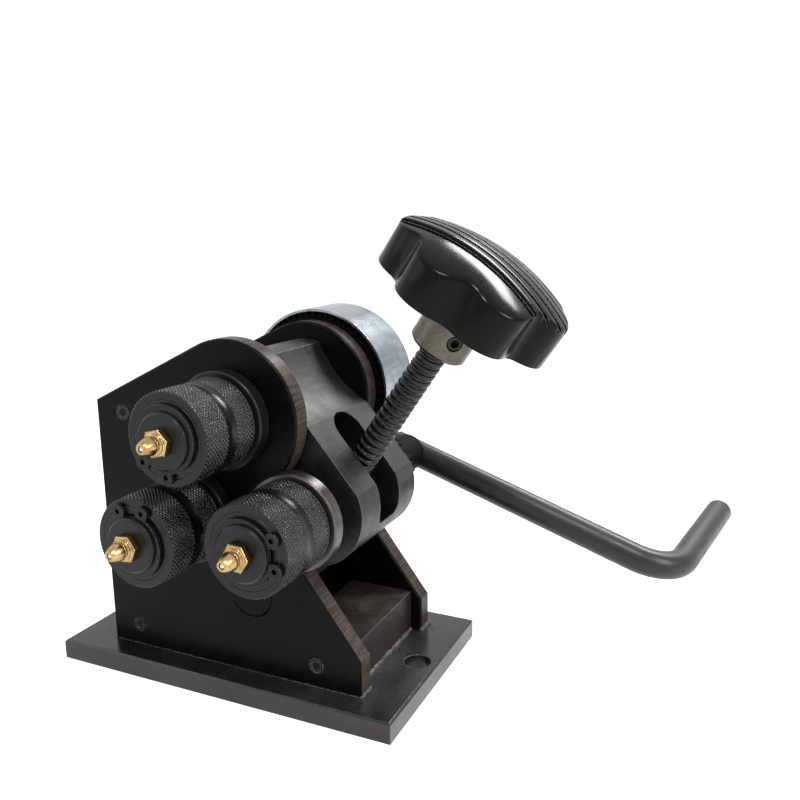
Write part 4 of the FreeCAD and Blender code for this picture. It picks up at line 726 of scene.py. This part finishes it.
@dataclass
class Bench:
    """Puts finished pieces into the scene, with materials from the shop."""

    shop: MaterialShop

    def add(self, name: str, mesh: bpy.types.Mesh, body: str, slot: Slot, replaced: Sequence[str] = (),
            about: Optional[Axle] = None) -> bpy.types.Object:
        """Set a piece on its body.

        Args:
            name: Piece name.
            mesh: Its mesh, in the frame's own place.
            body: The body that it rides on.
            slot: Its finish.
            replaced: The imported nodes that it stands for.
            about: Axis of its turning marks.

        Returns:
            The new object.
        """
        piece = bpy.data.objects.new(name, mesh)
        bpy.context.scene.collection.objects.link(piece)
        mesh.materials.clear()
        mesh.materials.append(self.shop.get(slot, about))
        mesh.polygons.foreach_set("material_index", [0] * len(mesh.polygons))
        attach(piece, body)
        if replaced:
            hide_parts(*replaced)
        log.info("%s on %s, %d faces", name, body, len(mesh.polygons))
        return piece


@dataclass(frozen=True)
class KnurledRoller:
    """A roller with two knurled bands, a smooth groove and a fine ring on its face. Sizes in mm.

    Attributes:
        node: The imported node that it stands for.
        body: The body that it rides on.
        axle: Its axis.
        bore: Radius of its hole at the front.
        inner: Radius of its hole behind the lip.
    """

    node: str
    body: str
    axle: Axle
    bore: float
    inner: float
    front: float = -65.8
    back: float = -38.6
    crest: float = 16.7
    depth: float = 0.46
    groove: tuple[float, float] = (-53.6, -49.0)
    groove_radius: float = 15.95
    lip: float = 2.5
    ring: float = 13.4
    plain_rim: float = 1.0
    around: int = 64

    def build(self, bench: Bench, knurl: Growth) -> None:
        """Turn the body, roll the knurl on and set the roller on its axle."""
        root = self.crest - self.depth
        start, end = self.groove
        edge = 0.25
        profile = [
            (self.bore + edge, self.front), (self.ring - 0.25, self.front), (self.ring - 0.1, self.front + 0.2),
            (self.ring + 0.1, self.front + 0.2), (self.ring + 0.25, self.front), (root - edge, self.front),
            (root, self.front + edge), (root, start), (self.groove_radius, start + 0.5),
            (self.groove_radius, end - 0.5), (root, end), (root, self.back - self.plain_rim - 0.2),
            (self.crest - 0.1, self.back - self.plain_rim), (self.crest - 0.1, self.back - edge),
            (self.crest - edge, self.back), (self.inner, self.back), (self.inner, self.front + self.lip),
            (self.bore, self.front + self.lip), (self.bore, self.front + edge)]
        name = self.node + "_knurled"
        core = spin_mesh(name, profile, 192, self.axle)
        skin = bench.shop.get(Slot.ROLLER, self.axle)
        core.materials.append(skin)
        sink = 0.05
        common = {"Around": self.around, "Root": (root - sink) * MM, "Height": (self.depth + sink) * MM,
                  "Centre": (self.axle.x, 0.0, self.axle.z), "Material": skin}
        steps = []
        for low, high in ((self.front + 0.05, start), (end, self.back - self.plain_rim - 0.2)):
            rows = 2 * round((high - low) / 1.6) - 1
            steps.append((knurl, {**common, "Start": low * MM, "Length": (high - low) * MM, "Rows": rows}))
        bench.add(name, grow(name, core, steps), self.body, Slot.ROLLER, [self.node], self.axle)


@dataclass(frozen=True)
class ScrewLine:
    """The adjusting screw's leaning axis, which starts on the trunnion's axis."""

    @property
    def matrix(self) -> Matrix:
        """Carry a piece built about Z onto the axis."""
        lean = math.atan2(RIGHT.x - TRUNNION.x, RIGHT.z - TRUNNION.z)
        return Matrix.Translation((TRUNNION.x, 0.0, TRUNNION.z)) @ Matrix.Rotation(lean, 4, "Y")


@dataclass(frozen=True)
class AdjustingScrew:
    """The threaded screw. Sizes in mm from the trunnion's axis."""

    tail: float = -15.0
    journal: float = 4.0
    shoulder: float = 9.9
    crest: float = 5.5
    core: float = 4.75
    pitch: float = 3.0
    thread_end: float = 112.0
    spigot: float = 5.0
    top: float = 142.5
    clip_groove: tuple[float, float] = (-12.0, -10.8)
    clip_depth: float = 0.7
    tail_edge: float = 0.6
    relief: float = 1.6

    def build(self, bench: Bench, thread: Growth) -> None:
        """Turn the core, wind the thread on and lean the screw."""
        neck = self.journal - self.clip_depth
        low, high = self.clip_groove
        relief = self.shoulder + self.relief
        profile = [
            (0.0, self.tail), (self.journal - self.tail_edge, self.tail),
            (self.journal, self.tail + self.tail_edge),
            (self.journal, low), (neck, low), (neck, high), (self.journal, high),
            (self.journal, self.shoulder), (self.crest - 0.5, self.shoulder), (self.crest, self.shoulder + 0.5),
            (self.crest, relief), (self.core, relief + 1.0), (self.core, self.thread_end),
            (self.spigot, self.thread_end), (self.spigot, self.top), (0.0, self.top)]
        core = spin_mesh("adjusting_screw_threaded", profile, 48)
        skin = bench.shop.get(Slot.SCREW)
        core.materials.append(skin)
        start = self.shoulder + 2.0
        turns = (self.thread_end + 0.6 - start) / self.pitch
        mesh = grow("adjusting_screw_threaded", core, [(thread, {
            "Turns": turns, "Pitch": self.pitch * MM, "Core": (self.core - 0.05) * MM,
            "Height": (self.crest - self.core + 0.05) * MM, "Width": self.pitch * 0.84 * MM,
            "Start": start * MM, "Steps": 30, "Material": skin})])
        face_outwards(mesh)
        mesh.transform(ScrewLine().matrix)
        bench.add("adjusting_screw_threaded", mesh, "adjuster", Slot.SCREW, ["adjusting_screw"])


@dataclass(frozen=True)
class KnobShape:
    """The moulded knob, built about Z with its skirt's lower edge at 0. Sizes in mm."""

    outer: float = 34.4
    valley: float = 29.6
    lobe: float = 12.0
    lobes: int = 7
    turn: float = -3.5
    base: float = 129.5
    skirt: float = 15.3
    height: float = 24.0
    ridge_height: float = 1.3
    ridge_width: float = 3.4
    ridge_gap: float = 1.7
    ridges: int = 6
    rounding: float = 1.1
    wall: float = 3.2
    hub: float = 14.0
    recess: float = 3.5
    bend: float = 22.5
    bend_slope: float = 0.10
    facets: int = 224
    wave: float = 0.8
    ridge_steps: int = 36
    spacing: float = 1.9
    chamfer: float = 0.3

    def reach(self, angle: float, inset: float = 0.0) -> float:
        """Distance from the axis to the outline, moved in by inset."""
        step = math.pi / self.lobes
        outer, inner, lobe = self.outer - inset, self.valley - inset, self.lobe - inset
        crest = outer - lobe
        hollow = (crest ** 2 - (lobe - inner) ** 2) / (2.0 * (crest * math.cos(step) - inner + lobe))
        dip = hollow - inner
        share = lobe / (lobe + dip)
        touch = math.atan2(hollow * math.sin(step) * share,
                           crest + (hollow * math.cos(step) - crest) * share)
        away = abs((angle + step) % (2.0 * step) - step)
        if away <= touch:
            return crest * math.cos(away) + math.sqrt(max(lobe ** 2 - (crest * math.sin(away)) ** 2, 0.0))
        back = step - away
        return hollow * math.cos(back) - math.sqrt(max(dip ** 2 - (hollow * math.sin(back)) ** 2, 0.0))

    def lines(self) -> list[float]:
        """Where the ridges' long edges lie, from side to side."""
        pitch = self.ridge_width + self.ridge_gap
        start = -(self.ridges * pitch - self.ridge_gap) / 2.0
        return [start + i * pitch + part for i in range(self.ridges) for part in (0.0, self.ridge_width)]

    def on_ridge(self, y: float) -> bool:
        """Whether a line along the ridges at y lies on one."""
        edges = self.lines()
        return any(low < y < high for low, high in zip(edges[::2], edges[1::2]))

    def dome(self, x: float, y: float) -> float:
        """Height of the smooth dome under the ridges, with a soft bend towards its near and far rims."""
        crown = self.height - self.ridge_height
        rise = crown - self.skirt
        radius = (self.outer ** 2 + rise ** 2) / (2.0 * rise)
        level = crown - radius + math.sqrt(radius ** 2 - x * x - y * y)
        past = (abs(y) - self.bend) / self.wave
        soft = self.wave * (past if past > 30.0 else math.log1p(math.exp(past)))
        return level - self.bend_slope * soft

    def spot(self, angle: float, inset: float = 0.0) -> tuple[float, float]:
        """Point of the outline at an angle, moved in by inset."""
        reach = self.reach(angle, inset)
        return reach * math.cos(angle), reach * math.sin(angle)

    def crossing(self, y: float, side: int, inset: float) -> float:
        """Angle at which the outline crosses the line at y on the right (1) or left (-1) side."""
        low, high = -math.pi / 2.0, math.pi / 2.0
        for _ in range(60):
            middle = (low + high) / 2.0
            angle = middle if side > 0 else math.pi - middle
            if self.reach(angle, inset) * math.sin(angle) < y:
                low = middle
            else:
                high = middle
        return (low + high) / 2.0 if side > 0 else math.pi - (low + high) / 2.0

    def loop(self, inset: float) -> list[tuple[float, float]]:
        """Points round the outline, with one on every ridge edge."""
        angles = [2.0 * math.pi * i / self.facets for i in range(self.facets)]
        crossings = [self.crossing(y, side, inset) % (2.0 * math.pi)
                     for y in self.lines() for side in (-1, 1)]
        gap = math.pi / self.facets * 0.7
        angles = [a for a in angles if all(abs(a - c) > gap for c in crossings)] + crossings
        return [self.spot(a, inset) for a in sorted(angles)]

    def plan(self) -> tuple[list, list, list]:
        """Split the top into triangles along the outline, its rounding and the ridges' edges.

        Returns:
            The points, the triangles and the outline.
        """
        points, edges = [], []
        for inset in (0.0, 0.04, 0.15, 0.36, 0.68, 1.0):
            ring = self.loop(inset * self.rounding)
            first = len(points)
            points += ring
            edges += [(first + i, first + (i + 1) % len(ring)) for i in range(len(ring))]
            if inset == 0.0:
                rim = ring
        for y in self.lines():
            ends = [self.crossing(y, side, 0.0) for side in (-1, 1)]
            left, right = (self.spot(a)[0] for a in ends)
            row = [len(points) + i for i in range(self.ridge_steps + 1)]
            points += [(left + (right - left) * i / self.ridge_steps, y) for i in range(self.ridge_steps + 1)]
            edges += list(zip(row, row[1:]))
        span = int(self.outer / self.spacing) + 1
        for i in range(-span, span + 1):
            for j in range(-span, span + 1):
                x, y = (i + 0.5 * (j % 2)) * self.spacing, j * self.spacing * 0.866
                angle = math.atan2(y, x)
                clear = all(abs(y - line) > 0.6 for line in self.lines())
                if math.hypot(x, y) < self.reach(angle, self.rounding + 0.7) and clear:
                    points.append((x, y))
        solved = delaunay_2d_cdt([Vector(p) for p in points], edges, [], 1, 1e-5)
        return [tuple(v) for v in solved[0]], [tuple(f) for f in solved[2]], rim

    def mesh(self) -> bpy.types.Mesh:
        """Lift the plan into the domed top and close it with the skirt, the rim and the hollow inside."""
        spots, faces, rim = self.plan()
        tree = KDTree(len(rim))
        for i, (x, y) in enumerate(rim):
            tree.insert((x, y, 0.0), i)
        tree.balance()

        def depth(x: float, y: float) -> float:
            """Distance of a point from the outline."""
            index = tree.find((x, y, 0.0))[1]
            best = 1e9
            for other in (index - 1, index + 1):
                a, b = Vector(rim[index]), Vector(rim[other % len(rim)])
                run = b - a
                share = min(1.0, max(0.0, (Vector((x, y)) - a).dot(run) / run.length_squared))
                best = min(best, (Vector((x, y)) - a - run * share).length)
            return best

        def level(x: float, y: float, raised: bool) -> float:
            """Height of the top, rounded off at the rim."""
            near = min(1.0, depth(x, y) / self.rounding)
            fall = self.rounding * (1.0 - math.sqrt(max(0.0, 1.0 - (1.0 - near) ** 2)))
            return self.dome(x, y) + (self.ridge_height if raised else 0.0) - fall

        build = bmesh.new()

        def add(*corners: tuple[float, float, float]) -> None:
            """Add one face from corners in millimetres."""
            build.faces.new([build.verts.new(Vector(corner) * MM) for corner in corners])

        heights = {(i, raised): level(*spot, raised)
                   for i, spot in enumerate(spots) for raised in (False, True)}
        flags = {}
        for face in faces:
            raised = self.on_ridge(sum(spots[i][1] for i in face) / len(face))
            add(*[(*spots[i], heights[i, raised]) for i in face])
            for i, j in zip(face, face[1:] + face[:1]):
                flags.setdefault((min(i, j), max(i, j)), []).append(raised)
        for (i, j), sides in flags.items():
            a, b = spots[i], spots[j]
            if len(sides) == 1:
                add((*a, 0.7), (*b, 0.7), (*b, heights[j, False]), (*a, heights[i, False]))
            if sides != [False] and (len(sides) == 1 or sides[0] != sides[1]):
                add((*a, heights[i, False]), (*b, heights[j, False]), (*b, heights[j, True]),
                    (*a, heights[i, True]))
        self.close_below(build, rim, add)
        bmesh.ops.remove_doubles(build, verts=build.verts, dist=1e-6)
        bmesh.ops.recalc_face_normals(build, faces=build.faces)
        floor = (self.skirt - 4.0) * MM
        crests = [edge for edge in build.edges if len(edge.link_faces) == 2
                  and all(vert.co.z > floor for vert in edge.verts)
                  and edge.calc_face_angle_signed(0.0) > math.radians(70.0)]
        bmesh.ops.bevel(build, geom=crests, offset=self.chamfer * MM, segments=2, profile=0.5, affect="EDGES",
                        clamp_overlap=True)
        return finish_mesh("adjusting_knob_moulded", build, 28.0)

    def close_below(self, build: bmesh.types.BMesh, rim: Sequence[tuple[float, float]],
                    add: Callable[..., None]) -> None:
        """Add the skirt's lower rounding, its rim, the hollow, the ceiling and the hub."""
        count = len(rim)

        def ring(inset: float) -> list[tuple[float, float]]:
            """The outline moved in, point for point."""
            return [self.spot(math.atan2(y, x), inset) for x, y in rim]

        inner = ring(self.wall)
        hub = [(self.hub * math.cos(math.atan2(y, x)), self.hub * math.sin(math.atan2(y, x))) for x, y in rim]
        ceiling = [self.dome(x, y) - self.wall - 0.6 for x, y in inner]
        lid = [self.dome(x, y) - self.wall for x, y in hub]
        bands = [([(*p, 0.7) for p in rim], [(*p, 0.2) for p in ring(0.2)]),
                 ([(*p, 0.2) for p in ring(0.2)], [(*p, 0.0) for p in ring(0.7)]),
                 ([(*p, 0.0) for p in ring(0.7)], [(*p, 0.0) for p in inner]),
                 ([(*p, 0.0) for p in inner], [(*p, z) for p, z in zip(inner, ceiling)]),
                 ([(*p, z) for p, z in zip(inner, ceiling)], [(*p, z) for p, z in zip(hub, lid)]),
                 ([(*p, z) for p, z in zip(hub, lid)], [(*p, self.recess) for p in hub]),
                 ([(*p, self.recess) for p in hub], [(0.0, 0.0, self.recess)] * count)]
        for low, high in bands:
            for i in range(count):
                j = (i + 1) % count
                corners = [low[i], low[j], high[j], high[i]]
                add(*(corners if high[i] != high[j] else corners[:3]))

    def build(self, bench: Bench) -> None:
        """Mould the knob and set it on the screw."""
        mesh = self.mesh()
        turn = Matrix.Rotation(math.radians(self.turn), 4, "Z")
        mesh.transform(ScrewLine().matrix @ (Matrix.Translation((0.0, 0.0, self.base * MM)) @ turn))
        bench.add("adjusting_knob_moulded", mesh, "adjuster", Slot.KNOB, ["adjusting_knob"])


@dataclass(frozen=True)
class FootWelds:
    """Small rippled welds along the plates' feet and the right block. Sizes in mm."""

    left: float = -57.0
    right: float = 58.5
    plate: float = 32.0
    block: float = 53.8
    inside: float = 24.0
    floor: float = 8.0

    def build(self, bench: Bench, ripples: Growth) -> None:
        """Lay the three runs and a few spatters beside them."""
        runs = [((self.left, -self.plate), (self.right, -self.plate), 120, (0.5, 0.35, 0.35), 0.12),
                ((self.left, self.plate), (self.right, self.plate), 74, (1.2, 1.2, 1.2), 0.15),
                ((self.block, -self.inside), (self.block, self.inside), 32, (1.2, 1.2, 1.2), 0.2),
                ((self.right, -self.plate), (self.right, -self.inside), 7, (0.9, 0.9, 0.9), 0.2),
                ((self.right, self.inside), (self.right, self.plate), 7, (1.3, 1.2, 1.3), 0.3)]
        spatters = [(self.right + 1.5, 28.0, 26, 3.4), (self.block + 2.0, 5.0, 16, 5.0),
                    (self.left + 4.0, -self.plate - 1.2, 16, 2.6), (18.0, -self.plate - 1.0, 26, 7.0)]
        rows = [(*run, 11 + number) for number, run in enumerate(runs)]
        rows += [((x - spread, y), (x + spread, y), count, (0.22, 0.22, 0.18), 1.1, 31 + number)
                 for number, (x, y, count, spread) in enumerate(spatters)]
        skin = bench.shop.get(Slot.WELD)
        steps = []
        for start, end, count, size, jitter, seed in rows:
            steps.append((ripples, {
                "From": (start[0] * MM, start[1] * MM, self.floor * MM),
                "To": (end[0] * MM, end[1] * MM, self.floor * MM), "Count": count,
                "Size": tuple(n * MM for n in size), "Jitter": jitter * MM, "Seed": seed, "Material": skin}))
        empty = bpy.data.meshes.new("foot_welds_start")
        bench.add("foot_welds", grow("foot_welds", empty, steps), "frame", Slot.WELD, ["weld_beads"])


@dataclass(frozen=True)
class DowelPins:
    """The six flush dowel pins, each with a fine rim and ring on its end. Sizes in mm."""

    places: tuple[tuple[float, float], ...] = ((39.8, 16.6), (-43.4, 16.6), (-43.8, 105.9))
    face: float = 32.0
    length: float = 17.0
    radius: float = 3.0
    rim: float = 0.14
    dish: float = 0.02
    ring: tuple[float, float] = (1.8, 2.0)
    rim_inside: float = 2.62

    def build(self, bench: Bench) -> None:
        """Turn the pins and drive them in from the front and the rear."""
        build = bmesh.new()
        for x, z in self.places:
            for side in (-1, 1):
                low, high = self.ring
                outline = ((0.0, -self.length), (self.radius, -self.length), (self.radius, -0.1),
                           (self.radius + self.rim, 0.0), (self.radius, self.rim), (self.rim_inside, self.rim),
                           (self.rim_inside - 0.12, -self.dish), (high + 0.08, -self.dish), (high, 0.08),
                           (low, 0.08), (low - 0.08, -self.dish), (0.0, -self.dish))
                profile = [(r, side * (self.face + y)) for r, y in outline]
                pin = spin_mesh("pin", profile, 40, Axle(x * MM, z * MM))
                build.from_mesh(pin)
                bpy.data.meshes.remove(pin)
        bench.add("dowel_pins_turned", finish_mesh("dowel_pins_turned", build), "frame", Slot.PIN,
                  ["dowel_pins"])


@dataclass(frozen=True)
class GreaseNipple:
    """A brass grease nipple: stem, hexagon, ring, neck and conical head. Sizes in mm.

    Attributes:
        node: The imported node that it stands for.
        body: The body that it rides on.
        axle: The shaft's axis.
        turn: Angle of a corner of its hexagon, in degrees.
    """

    node: str
    body: str
    axle: Axle
    turn: float
    seat: float = -69.1
    flats: float = 9.0
    hexagon: float = 3.0
    stem: float = 3.0
    collar: float = 3.9
    neck: float = 2.7
    head: float = 3.3
    tip: float = 1.75
    depth: float = 6.5
    length: float = 9.3
    bore: float = 1.12
    seat_depth: float = 0.8

    def build(self, bench: Bench) -> None:
        """Turn the nipple, mill its hexagon and screw it into the shaft."""
        top, ball = self.hexagon, self.length - self.seat_depth
        outline = ((0.0, -self.depth), (self.stem, -self.depth), (self.stem, 0.5), (self.collar, top - 0.4),
                   (self.collar, top + 0.7), (self.collar - 0.3, top + 0.95), (self.neck, top + 1.1),
                   (self.neck, top + 1.6), (self.head - 0.1, top + 1.85), (self.head, top + 2.1),
                   (self.head - 0.05, top + 2.7), (self.tip + 0.3, self.length - 0.35), (self.tip, self.length),
                   (self.bore, self.length), (self.bore, ball), (0.0, ball))
        build = bmesh.new()
        core = spin_mesh("core", [(r, self.seat - y) for r, y in outline], 40, self.axle)
        build.from_mesh(core)
        bpy.data.meshes.remove(core)
        reach = self.flats / math.sqrt(3.0)
        rings = []
        for height, share in ((0.05, 0.93), (0.4, 1.0), (self.hexagon - 0.45, 1.0), (self.hexagon, 0.90)):
            ring = []
            for i in range(6):
                angle = math.radians(self.turn + 60.0 * i)
                ring.append(build.verts.new((self.axle.x + reach * share * math.cos(angle) * MM,
                                             (self.seat - height) * MM,
                                             self.axle.z + reach * share * math.sin(angle) * MM)))
            rings.append(ring)
        for low, high in zip(rings, rings[1:]):
            for i in range(6):
                build.faces.new((low[i], low[(i + 1) % 6], high[(i + 1) % 6], high[i]))
        build.faces.new(rings[0])
        build.faces.new(rings[-1])
        mesh = finish_mesh(self.node + "_turned", build)
        bench.add(self.node + "_turned", mesh, self.body, Slot.BRASS, [self.node], self.axle)


CARRIED: dict[Slot, tuple[str, ...]] = {
    Slot.BASE: ("base_plate",),
    Slot.PLATE: ("front_plate", "rear_plate", "trunnion_bar"),
    Slot.BLOCK: ("lower_spacer_block", "left_spacer_block", "upper_tie_bar"),
    Slot.WELD: ("crank_weld",),
    Slot.BLACK: ("left_shaft", "upper_shaft", "right_shaft", "left_thrust_collar", "upper_thrust_collar"),
    Slot.COLLAR: ("right_thrust_collar",),
    Slot.CLIP: ("left_circlip", "upper_circlip", "right_circlip", "gear_circlip", "screw_circlip",
                "hub_set_screw", "knob_set_screw", "guard_screws"),
    Slot.BRIGHT: ("screw_washer", "shaft_keys"),
    Slot.BALL: ("left_nipple_ball", "upper_nipple_ball", "right_nipple_ball"),
    Slot.BRONZE: ("left_roller_bush", "right_roller_bush", "upper_front_bush", "upper_rear_bush",
                  "arm_bushes"),
    Slot.ZINC: ("gear_guard",),
    Slot.ARM: ("swing_arm",),
    Slot.GEAR_PAINTED_SHADE: ("drive_gear", "crank_pinion"),
    Slot.CRANK: ("crank_handle",),
    Slot.OLIVE: ("knob_collar",),
}
TURNED_ABOUT = {Slot.COLLAR: RIGHT}


def dress_carried(shop: MaterialShop) -> None:
    """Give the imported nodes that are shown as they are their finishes."""
    for slot, nodes in CARRIED.items():
        for node in nodes:
            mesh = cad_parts[node].data
            mesh.materials.clear()
            mesh.materials.append(shop.get(slot, TURNED_ABOUT.get(slot)))


@dataclass(frozen=True)
class Studio:
    """The camera that took the photo, soft lights, a pale floor and a white surround.

    Attributes:
        eye: Camera position in metres.
        azimuth: Camera's turn about Z in degrees.
        elevation: Camera's height angle in degrees.
        roll: Camera's roll in degrees.
        lens: Focal length in millimetres for a 36 mm sensor.
        low_sky: Colour of the light from near the ground.
        high_sky: Colour of the light from above.
        sky_strength: Strength of that light.
        floor_reach: Half the floor's width in metres.
        floor_level: Its height, just under the base.
        floor_colour: Its colour under the lamps.
        floor_white: How white it looks to the camera.
    """

    eye: Point = (0.18628, -0.27656, 0.17860)
    azimuth: float = 24.473
    elevation: float = 12.179
    roll: float = -0.463
    lens: float = 37.687
    low_sky: Colour = (0.16, 0.15, 0.15)
    high_sky: Colour = (0.5, 0.51, 0.53)
    sky_strength: float = 0.4
    floor_reach: float = 3.0
    floor_level: float = -0.2 * MM
    floor_colour: Colour = (0.62, 0.62, 0.62)
    floor_white: float = 0.9

    def set_camera(self) -> None:
        """Stand the camera where the photo was taken from."""
        side, rise, lean = (math.radians(a) for a in (self.azimuth, self.elevation, self.roll))
        back = Vector((math.sin(side) * math.cos(rise), -math.cos(side) * math.cos(rise), math.sin(rise)))
        right = (-back).cross(Vector((0.0, 0.0, 1.0))).normalized()
        up = right.cross(-back)
        turned_right = right * math.cos(lean) + up * math.sin(lean)
        turned_up = up * math.cos(lean) - right * math.sin(lean)
        camera = bpy.data.objects.new("camera", bpy.data.cameras.new("camera"))
        camera.data.lens = self.lens
        camera.data.sensor_width = 36.0
        camera.data.clip_start = 0.01
        matrix = Matrix((turned_right, turned_up, back)).transposed().to_4x4()
        camera.matrix_world = Matrix.Translation(self.eye) @ matrix
        bpy.context.scene.collection.objects.link(camera)
        bpy.context.scene.camera = camera

    def add_light(self, name: str, place: Point, width: float, height: float, power: float,
                  colour: Colour = (1.0, 1.0, 1.0), aim: Point = (0.01, 0.0, 0.08)) -> None:
        """Hang a soft rectangular light that looks at aim."""
        lamp = bpy.data.lights.new(name, "AREA")
        lamp.shape = "RECTANGLE"
        lamp.size, lamp.size_y, lamp.energy, lamp.color = width, height, power, colour
        holder = bpy.data.objects.new(name, lamp)
        holder.location = place
        holder.rotation_euler = (Vector(aim) - Vector(place)).to_track_quat("-Z", "Y").to_euler()
        bpy.context.scene.collection.objects.link(holder)

    @staticmethod
    def seen_directly(kit: Tree) -> bpy.types.NodeSocket:
        """1 for rays from the camera and for reflected and refracted ones, 0 for scattered light."""
        path = kit.add("ShaderNodeLightPath")
        seen = kit.plus(path.outputs["Is Camera Ray"], path.outputs["Is Glossy Ray"], clamp=True)
        return kit.plus(seen, path.outputs["Is Transmission Ray"], clamp=True)

    def set_world(self) -> None:
        """White to the camera and in reflections, soft grey as light."""
        world = bpy.data.worlds.new("surround")
        world.use_nodes = True
        bpy.context.scene.world = world
        kit = Tree(world.node_tree)
        kit.tree.nodes.clear()
        sky = kit.split(kit.add("ShaderNodeTexCoord").outputs["Generated"])[2]
        room = kit.mix(kit.band(sky, -0.2, 0.9), self.low_sky, self.high_sky)
        dim = kit.add("ShaderNodeBackground", {"Color": room, "Strength": self.sky_strength})
        white = kit.add("ShaderNodeBackground", {"Color": (1.0, 1.0, 1.0, 1.0)})
        both = kit.add("ShaderNodeMixShader", {0: self.seen_directly(kit), 1: dim.outputs[0],
                                               2: white.outputs[0]})
        kit.add("ShaderNodeOutputWorld", {"Surface": both.outputs[0]})

    def set_floor(self) -> None:
        """Lay a pale floor that looks white to the camera and in reflections."""
        mesh = bpy.data.meshes.new("floor")
        corners = [(x * self.floor_reach, y * self.floor_reach, self.floor_level)
                   for x, y in ((-1, -1), (1, -1), (1, 1), (-1, 1))]
        mesh.from_pydata(corners, [], [(0, 1, 2, 3)])
        floor = bpy.data.objects.new("floor", mesh)
        bpy.context.scene.collection.objects.link(floor)
        material = bpy.data.materials.new("floor_white")
        material.use_nodes = True
        kit = Tree(material.node_tree)
        kit.tree.nodes.clear()
        pale = kit.add("ShaderNodeBsdfDiffuse", {"Color": (*self.floor_colour, 1.0)})
        shine = kit.times(self.seen_directly(kit), self.floor_white)
        white = kit.add("ShaderNodeEmission", {"Strength": shine})
        both = kit.add("ShaderNodeAddShader", {0: pale.outputs[0], 1: white.outputs[0]})
        kit.add("ShaderNodeOutputMaterial", {"Surface": both.outputs[0]})
        mesh.materials.append(material)

    def build(self) -> None:
        """Set the whole studio up."""
        self.set_camera()
        self.set_world()
        self.set_floor()
        self.add_light("sky_window", (0.33, 0.72, 0.80), 0.60, 0.16, 8.5)
        self.add_light("top_window", (0.42, -0.42, 0.98), 0.30, 0.12, 5.0)
        self.add_light("right_window", (0.95, -0.15, 0.55), 0.25, 0.40, 5.0, (1.0, 0.96, 0.93))
        self.add_light("left_fill", (-0.80, -0.50, 0.60), 0.60, 0.60, 1.2, (0.90, 0.95, 1.0))
        bpy.context.scene.view_settings.view_transform = "Standard"


def main() -> None:
    """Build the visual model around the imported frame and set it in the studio."""
    logging.basicConfig(level=logging.INFO, format="%(name)s: %(message)s")
    write_bounds()
    shop = MaterialShop()
    dress_carried(shop)
    bench = Bench(shop)
    knurl = knurl_growth()
    for roller in (KnurledRoller("upper_roller", "drive", UPPER, 10.0, 10.0),
                   KnurledRoller("left_roller", "left_roller_unit", LEFT, 10.4, 12.5),
                   KnurledRoller("right_roller", "right_roller_unit", RIGHT, 10.4, 12.5)):
        roller.build(bench, knurl)
    for nipple in (GreaseNipple("left_grease_nipple", "frame", LEFT, 6.0),
                   GreaseNipple("upper_grease_nipple", "drive", UPPER, 14.0),
                   GreaseNipple("right_grease_nipple", "right_shaft_unit", RIGHT, 56.0)):
        nipple.build(bench)
    AdjustingScrew().build(bench, thread_growth())
    KnobShape().build(bench)
    FootWelds().build(bench, ripple_growth())
    DowelPins().build(bench)
    Studio().build()
    write_bounds()
    log.info("%d materials", len(shop.made))


if __name__ == "__main__":
    main()
